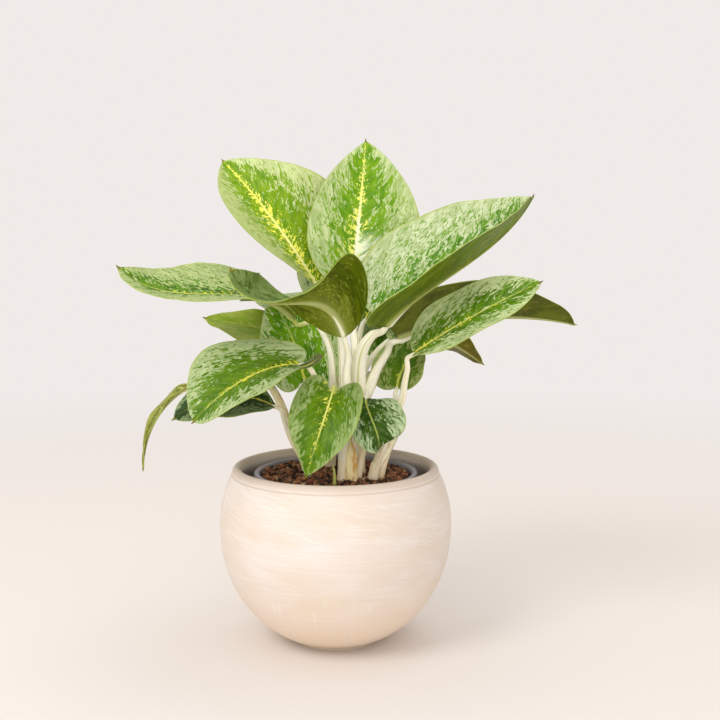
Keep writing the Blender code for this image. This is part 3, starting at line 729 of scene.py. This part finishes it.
def spline_point(points, t):
    """A point on the smooth curve through the points, for t from 0 to 1."""
    spans = len(points) - 1
    span = min(int(t * spans), spans - 1)
    f = t * spans - span
    p1 = points[span]
    p2 = points[span + 1]
    p0 = points[span - 1] if span > 0 else 2 * p1 - p2
    p3 = points[span + 2] if span + 2 <= spans else 2 * p2 - p1
    bend = (2 * p0 - 5 * p1 + 4 * p2 - p3) * f ** 2 + (3 * p1 - p0 - 3 * p2 + p3) * f ** 3
    return 0.5 * (2 * p1 + (p2 - p0) * f + bend)


def rib_point(spec, t):
    """A point on the midrib: the polynomial through its points, spaced by their distances."""
    points = spec["rib"]
    places = [0.0]
    for a, b in zip(points, points[1:]):
        places.append(places[-1] + (b - a).length)
    places = [p / places[-1] for p in places]
    total = Vector((0, 0, 0))
    for i, point in enumerate(points):
        weight = 1.0
        for j, place in enumerate(places):
            if j != i:
                weight *= (t - place) / (places[i] - place)
        total += point * weight
    return total


def rib_length(spec):
    marks = [rib_point(spec, i / 20) for i in range(21)]
    return sum((b - a).length for a, b in zip(marks, marks[1:]))


def rib_way(spec, t):
    """Unit vector along the midrib."""
    step = 0.01
    return (rib_point(spec, min(1, t + step)) - rib_point(spec, max(0, t - step))).normalized()


def rib_up(spec, t):
    """Unit vector square to the midrib on the blade's upper side."""
    along = rib_way(spec, t)
    face = spec["face"].lerp(spec["face_tip"], t)
    return (face - along * face.dot(along)).normalized()


def blade_share(spec, t, half):
    """Width of a half blade at t as a share of its widest: rounded at the base, drawn out at the tip."""
    sharp = spec["sharp"][half]
    widest = spec["widest"][half]
    blunt = sharp * widest / (1 - widest)
    most = widest ** blunt * (1 - widest) ** sharp
    return t ** blunt * (1 - t) ** sharp / most


def smooth(low, high, value):
    """0 below low, 1 above high, and an eased rise between them."""
    share = min(1.0, max(0.0, (value - low) / (high - low)))
    return share * share * (3 - 2 * share)


def mesh_piece(name, points, faces, marks, indices=None, sharp=50):
    """A smooth piece from points in mm, with its marks kept as vector attributes for the materials."""
    mesh = bpy.data.meshes.new(name)
    mesh.from_pydata([tuple(p * MM) for p in points], [], faces)
    for mark, values in marks.items():
        layer = mesh.attributes.new(mark, "FLOAT_VECTOR", "POINT")
        layer.data.foreach_set("vector", [c for value in values for c in value])
    if indices:
        mesh.polygons.foreach_set("material_index", indices)
    mesh.polygons.foreach_set("use_smooth", [True] * len(mesh.polygons))
    mesh.set_sharp_from_angle(angle=math.radians(sharp))
    obj = bpy.data.objects.new(name, mesh)
    bpy.context.scene.collection.objects.link(obj)
    return obj


def relief(spec, u, t, width, vein):
    """How far the upper side stands off the plain form: rib groove, puckers and side veins."""
    reach = abs(u)
    across = reach * width
    groove = -RIB_GROOVE * math.exp(-(across / RIB_GROOVE_WIDTH) ** 2) * (1 - t) ** 0.5
    body = smooth(0.03, 0.25, reach) * smooth(0, 0.08, t) * smooth(1.0, 0.85, t)
    side = 40 if u > 0 else 0
    seed = spec["seed"] * 7.3
    pucker = noise.noise(Vector((vein / PUCKER_LENGTH, reach * 1.6 + side, seed)))
    lines = VEIN_HEIGHT * math.sin(2 * math.pi * (vein + 2 * pucker) / VEIN_SPACING)
    return groove + body * (pucker + lines * (1 - 0.5 * reach))


def blade_row(spec, t, length):
    """The points of one row across the blade: upper side, lower side and the marks of each."""
    inner = min(t, 1.0)
    along = rib_way(spec, inner)
    up = rib_up(spec, inner)
    side = along.cross(up)
    centre = rib_point(spec, inner) + along * ((t - inner) * length)
    beyond = (t - inner) * length / SPIKE
    row = []
    for column in range(-COLUMNS, COLUMNS + 1):
        s = column / COLUMNS
        u = s * abs(s) ** COLUMN_CROWDING
        half = 1 if u > 0 else 0
        sign = 1 if u > 0 else -1
        least = (BLADE_BASE + (BLADE_TIP - BLADE_BASE) * inner) * (1 - 0.8 * beyond)
        share = blade_share(spec, inner, half)
        width = max(least, spec["widths"][half] * share)
        reach = abs(u)
        open_up = min(1.0, width / (4 * BLADE_BASE))
        angle = math.radians(spec["fold"][half] + spec["curl"][half] * reach / 2) * open_up
        ruffle = spec["wave"] * reach ** 2 * math.sin(2 * math.pi * WAVES * inner + sign) * open_up
        outwards = side * (sign * math.cos(angle)) + up * math.sin(angle)
        back = along * (-spec["lobe"][half] * reach ** 2 * 2 * share * (1 - inner) ** 5)
        across = width * reach
        vein = inner * length - 0.7 * across - 0.5 * across * reach
        normal = up * math.cos(angle) - side * (sign * math.sin(angle))
        point = centre + outwards * across + up * ruffle + back
        point += normal * relief(spec, u, inner, width, vein)
        keel = (BLADE_RIB - MARGIN_THICKNESS) * math.exp(-(across / KEEL_WIDTH) ** 2) * (1 - 0.75 * inner)
        thick = (MARGIN_THICKNESS + keel) * (1 - 0.7 * beyond)
        seed = sign * HALF_SEED + spec["seed"] * LEAF_SEED
        row.append((point, point - normal * thick, (vein, across, sign), (reach, inner, seed)))
    return row


def make_blade(spec):
    """A leaf blade with a rounded underside rib, drawn out at its tip."""
    length = rib_length(spec)
    places = [i / ROWS - ROW_CROWDING * math.sin(2 * math.pi * i / ROWS) for i in range(ROWS + 1)]
    if spec["shoot"]:
        places += [1 + SPIKE * (i + 1) / SPIKE_ROWS / length for i in range(SPIKE_ROWS)]
    rows = [blade_row(spec, t, length) for t in places]
    wide = len(rows[0])
    above, below, veins, spots = [list(column) for column in zip(*(p for row in rows for p in row))]
    under = len(rows) * wide
    faces = []
    indices = []
    for r in range(len(rows) - 1):
        for c in range(wide - 1):
            a = r * wide + c
            faces.append((a, a + 1, a + wide + 1, a + wide))
            indices.append(0)
            a += under
            faces.append((a, a + wide, a + wide + 1, a + 1))
            indices.append(1)
    ring = list(range(wide))
    ring += [r * wide + wide - 1 for r in range(1, len(rows))]
    ring += [(len(rows) - 1) * wide + c for c in range(wide - 2, -1, -1)]
    ring += [r * wide for r in range(len(rows) - 2, 0, -1)]
    for a, b in zip(ring, ring[1:] + ring[:1]):
        faces.append((b, a, a + under, b + under))
        indices.append(0)
    piece = mesh_piece(spec["name"] + "_fine", above + below, faces,
                       {"vein": veins * 2, "place": spots * 2}, indices)
    piece.data.materials.append(leaf_above(spec))
    piece.data.materials.append(leaf_below(spec))
    if spec["shoot"]:
        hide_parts(spec["name"])
    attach(piece, "root")


def wall_faces(first, rings, sides, flip=False):
    """Quads between each ring of points and the next, and a flat end on the last ring."""
    faces = []
    for ring in range(rings - 1):
        for step in range(sides):
            a = first + ring * sides + step
            b = first + ring * sides + (step + 1) % sides
            faces.append((a, a + sides, b + sides, b) if flip else (a, b, b + sides, a + sides))
    last = first + (rings - 1) * sides
    end = tuple(range(last, last + sides))
    faces.append(end[::-1] if flip else end)
    return faces


class Stems:
    """Collects tubes into one mesh, with marks for how far along and how far round each point is."""

    def __init__(self):
        self.points = []
        self.faces = []
        self.marks = []
        self.tints = []

    def tube(self, path, radii, kind, hint, shape=None, tint=(0, 0)):
        """A closed tube along the points of the path, its ring turned so that angle 0 faces the hint."""
        first = len(self.points)
        run = 0.0
        for index, centre in enumerate(path):
            before = path[max(0, index - 1)]
            after = path[min(len(path) - 1, index + 1)]
            way = (after - before).normalized()
            if index:
                run += (centre - path[index - 1]).length
            top = (hint - way * hint.dot(way)).normalized()
            side = way.cross(top)
            share = index / (len(path) - 1)
            for step in range(STEM_SIDES):
                angle = 2 * math.pi * step / STEM_SIDES
                radius = radii[index] * (shape(share, angle, run) if shape else 1)
                self.points.append(centre + (top * math.cos(angle) + side * math.sin(angle)) * radius)
                self.marks.append((share, math.cos(angle), run + 200 * kind))
                self.tints.append((*tint, math.sin(angle)))
        self.faces += wall_faces(first, len(path), STEM_SIDES)
        self.faces.append(tuple(range(first, first + STEM_SIDES))[::-1])

    def piece(self, name, node, material):
        piece = mesh_piece(name, self.points, self.faces, {"stem": self.marks, "tint": self.tints})
        piece.data.materials.append(material)
        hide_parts(node)
        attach(piece, "root")


def petiole_shape(share, angle, run):
    """A channel along the upper side, with a thin wing on each side of it low down where it sheathes."""
    low = 1 - smooth(0.2, 0.65, share)
    away = abs(math.remainder(angle, 2 * math.pi))
    channel = 0.16 * math.exp(-(away / 0.5) ** 2)
    wing = 0.3 * low * math.exp(-((away - 1.1) / 0.3) ** 2)
    return 1 + 0.2 * low - channel + wing


def cane_shape(share, angle, run):
    """A slightly flared foot, and faint rings where old leaves stood."""
    return 1 + 0.16 * math.exp(-run / 9) + 0.035 * math.exp(-((run % 13 - 6) / 1.1) ** 2)


def sheath_shape(share, angle, run):
    """A flat curled husk: wide across, thin through, and split down its front."""
    flat = 0.45 + 0.55 * abs(math.sin(angle))
    away = abs(math.remainder(angle - 0.5, 2 * math.pi))
    return flat * (1 - 0.3 * math.exp(-(away / 0.3) ** 2)) * (1 - 0.75 * smooth(0.6, 1.0, share))


def finer(points, radii):
    """The smooth curve through the points at small steps, with its radius at each."""
    length = sum((b - a).length for a, b in zip(points, points[1:]))
    count = max(8, round(length / STEM_STEP))
    path = [spline_point(points, i / count) for i in range(count + 1)]
    thick = [radii[0] + (radii[1] - radii[0]) * i / count for i in range(count + 1)]
    return path, thick


def make_shoot(name):
    """A cane with its leaf stalks, each running on into the rib under its blade."""
    foot, top, radii = CANES[name]
    top = Vector(top)
    base = Vector((*foot, CANE_BASE_Z))
    stems = Stems()
    path, thick = finer([base, base.lerp(top, 0.5), top], radii)
    way = (path[-1] - path[-2]).normalized()
    for beyond, share in CANE_TIP:
        path.append(top + way * beyond)
        thick.append(radii[1] * share)
    stems.tube(path, thick, 0, FACING, cane_shape)
    for number, spec in enumerate(s for s in LEAVES if s["shoot"] == name):
        way = rib_way(spec, 0)
        up = rib_up(spec, 0)
        end = spec["rib"][0] - up * (BLADE_RIB / 2)
        first = spec["stalk"][0]
        height = min(top.z - STALK_ROOT, first.z - STALK_LEAVES)
        root = base.lerp(top, max(0, (height - base.z) / (top.z - base.z)))
        points = [root] + spec["stalk"] + [end - way * STALK_STRAIGHT, end - way * 2 * GAP]
        path, thick = finer(points, spec["radii"])
        length = rib_length(spec)
        for reach in range(TAIL_STEP, TAIL - 4, TAIL_STEP):
            t = reach / length
            slim = spec["radii"][1] * (1 - reach / TAIL)
            path.append(rib_point(spec, t) - rib_up(spec, t) * (slim + RIB_GROOVE + 0.15))
            thick.append(slim)
        stems.tube(path, thick, number + 1, up, petiole_shape, STALK_TINTS.get(spec["name"], (0, 0)))
    for number, (shoot, shape, ends, tint, points) in enumerate(OTHER_STALKS):
        if shoot == name:
            path, thick = finer([Vector(p) for p in points], ends)
            stems.tube(path, thick, number + 9, FACING, shape, tint)
    stems.piece(name + "_fine", name, shoot_material(name))


def make_spear():
    """The small yellow-green shoot that comes up at the front."""
    x, y = SPEAR_FOOT
    points = [(x, y, CANE_BASE_Z), (x, y, SPEAR_BEND_Z), (x - 1, y, SPEAR_TIP_Z)]
    path, thick = finer([Vector(p) for p in points], (SPEAR_RADIUS, 0.35))
    stems = Stems()
    stems.tube(path, thick, 1, FACING, tint=(1.2, 0))
    stems.piece("spear_shoot_fine", "spear_shoot", shoot_material("spear_shoot"))


# The rounded top of a cane: how far beyond it in mm, and the share of its radius there
CANE_TIP = ((1.2, 0.8), (1.9, 0.35))

# Unusual stalks: the share at the far end that is green, and how dry the whole is
STALK_TINTS = {
    "leaf_left_long": (0.5, 0),
    "leaf_left_thin": (0, 0.5),
    "leaf_left_low": (0.1, 0.15),
    "leaf_front_heart": (0.7, 0),
    "leaf_left_front": (0, 0.2),
    "leaf_right_front": (0, 0.12),
}

# Old stalks and husks at the foot: shoot, form, radii at the ends, green and dry shares, points
OTHER_STALKS = [
    ("shoot_front", sheath_shape, (5.6, 3.6), (0, 0.95), [(10, -32, 122), (11, -32, 140), (11, -30, 158)]),
    ("shoot_centre", petiole_shape, (2.6, 2.2), (0, 0.12), [(15, -23, 122), (17, -22, 132), (21, -17, 150)]),
    ("shoot_right", petiole_shape, (1.9, 1.5), (0, 0.25),
     [(32, -18, 122), (35, -18, 135), (41, -16, 152), (46, -12, 166)]),
    ("shoot_left", petiole_shape, (2.3, 1.6), (0, 0.12), [(-16, -3, 122), (-19, -4, 138), (-26, -5, 156)]),
    ("shoot_back", sheath_shape, (5.4, 3.2), (0, 0.9), [(17, 27, 122), (17, 28, 138), (16, 29, 152)]),
]


def turned(name, profile, shape=None):
    """A closed solid of revolution. The profile runs up the inside, over the lip and down the outside."""
    points = []
    marks = []
    run = 0.0
    for index, (radius, z) in enumerate(profile):
        if index:
            run += math.dist(profile[index - 1], (radius, z))
        for step in range(TURNS):
            angle = 2 * math.pi * step / TURNS
            wide = radius + (shape(angle, z, radius) if shape else 0)
            points.append(Vector((wide * math.cos(angle), wide * math.sin(angle), z)))
            marks.append((run, z, radius))
    faces = [tuple(range(TURNS))] + wall_faces(0, len(profile), TURNS, True)
    return mesh_piece(name, points, faces, {"pot": marks}, sharp=60)


def pot_side(z, inset=0.0):
    """Radius of the pot's side at a height, or of the same side moved inwards."""
    rise = z - POT_WIDEST_Z
    reach = (POT_UPPER_REACH if rise > 0 else POT_LOWER_REACH) - inset
    share = min(1.0, abs(rise / reach)) ** POT_ROUNDNESS
    return (POT_RADIUS - inset) * (1 - share) ** (1 / POT_ROUNDNESS)


def pot_profile():
    inside = [(2, POT_FLOOR_Z), (NURSERY_BOTTOM_RADIUS + 3, POT_FLOOR_Z)]
    inside += [(pot_side(z, POT_WALL), z) for z in range(20, POT_LIP_Z - 8, 4)]
    lip_outer = pot_side(POT_LIP_Z)
    lip_middle = (lip_outer + POT_MOUTH_RADIUS) / 2
    lip = [(POT_MOUTH_RADIUS + 1, POT_LIP_Z - 4), (POT_MOUTH_RADIUS, POT_LIP_Z)]
    half_width = (lip_outer - POT_MOUTH_RADIUS) / 2
    rise = POT_HEIGHT - POT_LIP_Z
    for step in range(1, 16):
        angle = math.pi * (1 - step / 16)
        lip.append((lip_middle + half_width * math.cos(angle), POT_LIP_Z + rise * math.sin(angle)))
    heights = [POT_LIP_Z - 0.5 * i for i in range(20)]
    heights += [POT_LIP_Z - 10 - 2 * i for i in range(56)]
    outside = []
    for z in heights:
        if z > POT_FOOT_HEIGHT + 0.5:
            dent = GROOVE_DEPTH * math.exp(-((z - GROOVE_Z) / GROOVE_WIDTH) ** 2)
            outside.append((pot_side(z) - dent, z))
    foot = [(pot_side(POT_FOOT_HEIGHT), POT_FOOT_HEIGHT), (POT_FOOT_RADIUS + 0.9, POT_FOOT_HEIGHT - 0.9),
            (POT_FOOT_RADIUS + 0.6, 0.5), (POT_FOOT_RADIUS, 0), (2, 0)]
    return inside + lip + outside + foot


def hand_made(angle, z, radius):
    """The slight unevenness of a pot brushed by hand."""
    place = Vector((1.3 * math.cos(angle), 1.3 * math.sin(angle), z / 60))
    return 0.25 * noise.noise(place) * smooth(20, 60, radius)


def make_pot():
    pot = turned("pot_fine", pot_profile(), hand_made)
    pot.data.materials.append(pot_material())
    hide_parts("pot")
    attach(pot, "root")


def nursery_wall(z):
    """Outer radius of the nursery pot's tapering wall."""
    share = (z - POT_FLOOR_Z) / (NURSERY_TOP_Z - POT_FLOOR_Z)
    return NURSERY_BOTTOM_RADIUS + (NURSERY_TOP_RADIUS - NURSERY_BOTTOM_RADIUS) * share


def make_nursery_pot():
    foot_z = POT_FLOOR_Z + GAP
    floor_z = foot_z + NURSERY_WALL
    rim_z = NURSERY_TOP_Z - NURSERY_RIM_HEIGHT
    top = NURSERY_TOP_Z
    inner = nursery_wall(top) - NURSERY_WALL
    profile = [
        (2, floor_z),
        (nursery_wall(floor_z) - NURSERY_WALL, floor_z),
        (inner - 0.4, top - 2.2),
        (inner - 0.1, top - 0.9),
        (inner + 0.4, top - 0.3),
        (inner + 1.1, top),
        (NURSERY_RIM_RADIUS - 0.9, top),
        (NURSERY_RIM_RADIUS - 0.3, top - 0.3),
        (NURSERY_RIM_RADIUS, top - 1),
        (NURSERY_RIM_RADIUS, rim_z + 0.4),
        (NURSERY_RIM_RADIUS - 0.4, rim_z),
        (nursery_wall(rim_z), rim_z - 0.1),
        (nursery_wall(foot_z) + 0.8, foot_z + 1.5),
        (nursery_wall(foot_z), foot_z),
        (2, foot_z),
    ]
    pot = turned("nursery_pot_fine", profile)
    pot.data.materials.append(nursery_material())
    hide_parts("nursery_pot")
    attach(pot, "root")


def soil_height(x, y):
    """Height of the soil's top, mounded in the middle with seeded lumps."""
    share = min(1.0, math.hypot(x, y) / (nursery_wall(SOIL_EDGE_Z) - NURSERY_WALL))
    lumps = math.sin(x / 6.1 + 0.8) * math.sin(y / 5.3 + 2.1) + 0.6 * math.sin(x / 3.7 + y / 4.9)
    return SOIL_EDGE_Z + SOIL_MOUND * (1 - share ** 2) + SOIL_LUMP * lumps * (1 - share ** 4)


class Soil:
    """The bed of soil and the crumbs, chips and fibres on it, as one mesh."""

    def __init__(self):
        self.points = []
        self.faces = []
        self.marks = []
        self.random = random.Random(SOIL_SEED)

    def bed(self):
        inset = NURSERY_WALL + GAP
        floor_z = POT_FLOOR_Z + NURSERY_WALL + 2 * GAP
        reach = nursery_wall(SOIL_EDGE_Z) - inset
        radii = [reach * (ring + 1) / SOIL_RINGS for ring in range(SOIL_RINGS)]
        rings = [(radius, None) for radius in radii] + [(nursery_wall(floor_z) - inset, floor_z)]
        self.points.append(Vector((0, 0, soil_height(0, 0))))
        for radius, level in rings:
            for step in range(SOIL_TURNS):
                angle = 2 * math.pi * step / SOIL_TURNS
                x = radius * math.cos(angle)
                y = radius * math.sin(angle)
                height = level
                if level is None:
                    rough = noise.noise(Vector((x / 2.2, y / 2.2, 3))) + 0.6 * noise.noise(Vector((x, y, 9)))
                    height = soil_height(x, y) + 0.7 * rough
                self.points.append(Vector((x, y, height)))
        self.faces += [(0, 1 + step, 1 + (step + 1) % SOIL_TURNS) for step in range(SOIL_TURNS)]
        self.faces += wall_faces(1, len(rings), SOIL_TURNS, True)
        self.marks += [BED_MARK] * len(self.points)

    def spot(self):
        """A random place on the soil's top."""
        reach = nursery_wall(SOIL_EDGE_Z) - NURSERY_WALL - 2.5
        radius = reach * math.sqrt(self.random.random())
        angle = self.random.uniform(0, 2 * math.pi)
        x = radius * math.cos(angle)
        y = radius * math.sin(angle)
        return Vector((x, y, soil_height(x, y)))

    def crumb(self, size, flat):
        """A small lump of random shape, sunk a little into the bed."""
        centre = self.spot() + Vector((0, 0, size * flat * 0.35))
        angles = [self.random.uniform(0, 6.3) for _ in range(3)]
        if flat < 0.7:
            angles = [self.random.gauss(0, 0.4), self.random.gauss(0, 0.4), self.random.uniform(0, 6.3)]
        turn = Euler(angles).to_matrix()
        first = len(self.points)
        stretch = Vector((size, size * self.random.uniform(0.5, 0.9), size * flat))
        for corner in CRUMB_POINTS:
            rough = self.random.uniform(0.75, 1.25)
            self.points.append(centre + turn @ (Vector(corner) * stretch * rough))
        self.faces += [tuple(first + c for c in face) for face in CRUMB_FACES]
        mark = (self.random.random(), self.random.random(), self.random.random())
        self.marks += [mark] * len(CRUMB_POINTS)

    def fibre(self, length):
        """A thin bent root or straw lying on the bed."""
        at = self.spot() + Vector((0, 0, 0.6))
        heading = self.random.uniform(0, 2 * math.pi)
        first = len(self.points)
        thick = self.random.uniform(0.12, 0.3)
        limit = nursery_wall(SOIL_EDGE_Z) - NURSERY_WALL - 1.5
        for _ in range(FIBRE_STEPS):
            heading += self.random.gauss(0, 0.3)
            at = at + Vector((math.cos(heading), math.sin(heading), 0)) * (length / FIBRE_STEPS)
            if at.xy.length > limit:
                at.xy = at.xy.normalized() * limit
            at.z = soil_height(at.x, at.y) + self.random.uniform(0.4, 1.2)
            side = Vector((-math.sin(heading), math.cos(heading), 0))
            for corner in range(3):
                angle = 2 * math.pi * corner / 3
                self.points.append(at + (side * math.cos(angle) + Vector((0, 0, math.sin(angle)))) * thick)
        self.faces += wall_faces(first, FIBRE_STEPS, 3)
        self.faces.append((first + 2, first + 1, first))
        mark = (self.random.uniform(0.3, 1), self.random.random(), self.random.uniform(0.8, 1))
        self.marks += [mark] * (FIBRE_STEPS * 3)


def make_soil():
    soil = Soil()
    soil.bed()
    for _ in range(SMALL_CRUMBS):
        soil.crumb(soil.random.uniform(0.6, 1.5), 0.9)
    for _ in range(LARGE_CRUMBS):
        soil.crumb(soil.random.uniform(1.5, 2.8), 0.75)
    for _ in range(BARK_CHIPS):
        soil.crumb(soil.random.uniform(2.4, 4.2), 0.35)
    for _ in range(FIBRES):
        soil.fibre(soil.random.uniform(5, 16))
    piece = mesh_piece("soil_fine", soil.points, soil.faces, {"crumb": soil.marks}, sharp=35)
    piece.data.materials.append(soil_material())
    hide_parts("soil")
    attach(piece, "root")


def make_floor():
    """A plain pale floor that fades into the room behind it."""
    mesh = bpy.data.meshes.new("floor")
    corners = [(x * FLOOR_REACH, y * FLOOR_REACH, 0) for x, y in ((-1, -1), (1, -1), (1, 1), (-1, 1))]
    mesh.from_pydata(corners, [], [(0, 1, 2, 3)])
    floor = bpy.data.objects.new("floor", mesh)
    bpy.context.scene.collection.objects.link(floor)
    paint = Paint("floor_paint", 0.8)
    x, y, z = paint.place
    far = paint.math("SQRT", x * x + y * y).rise(*FLOOR_FADE)
    paint.coats(FLOOR_COLOUR, (BLACK, far))
    glow = paint.mix(BLACK, WALL_COLOUR, far)
    paint.fill(paint.shader, {"Specular IOR Level": 0, "Emission Color": glow,
                              "Emission Strength": WORLD_STRENGTH})
    floor.data.materials.append(paint.material)


def make_light(name, place, size, watts, colour):
    light = bpy.data.lights.new(name, "AREA")
    light.shape = "DISK"
    light.size = size
    light.energy = watts
    light.color = colour
    obj = bpy.data.objects.new(name, light)
    obj.location = place
    bpy.context.scene.collection.objects.link(obj)
    obj.rotation_euler = (LIT_PLACE - obj.location).to_track_quat("-Z", "Y").to_euler()


def make_world():
    world = bpy.data.worlds.new("room")
    world.use_nodes = True
    background = world.node_tree.nodes["Background"]
    background.inputs["Color"].default_value = (*srgb(*WALL_COLOUR), 1)
    background.inputs["Strength"].default_value = WORLD_STRENGTH
    bpy.context.scene.world = world


def make_camera():
    data = bpy.data.cameras.new("camera")
    data.lens = LENS_MM
    data.sensor_width = SENSOR_MM
    camera = bpy.data.objects.new("camera", data)
    camera.location = CAMERA_PLACE
    camera.rotation_euler = [math.radians(a) for a in (90 + CAMERA_PITCH, 0, CAMERA_YAW)]
    bpy.context.scene.collection.objects.link(camera)
    bpy.context.scene.camera = camera


make_camera()
for number, leaf_spec in enumerate(LEAVES + [CURLED_LOBE]):
    leaf_spec["seed"] = number
    make_blade(leaf_spec)
for shoot_name in CANES:
    make_shoot(shoot_name)
make_spear()
make_pot()
make_nursery_pot()
make_soil()
make_floor()
make_world()
make_light("key", (-1.0, -1.1, 1.4), 0.9, 13, (1, 0.99, 0.975))
make_light("front", (-0.1, -1.6, 0.45), 1.2, 7, (1, 0.985, 0.96))
make_light("top", (0.3, 0.4, 1.6), 1.0, 4, (1, 1, 1))
bpy.context.scene.view_settings.view_transform = "Standard"
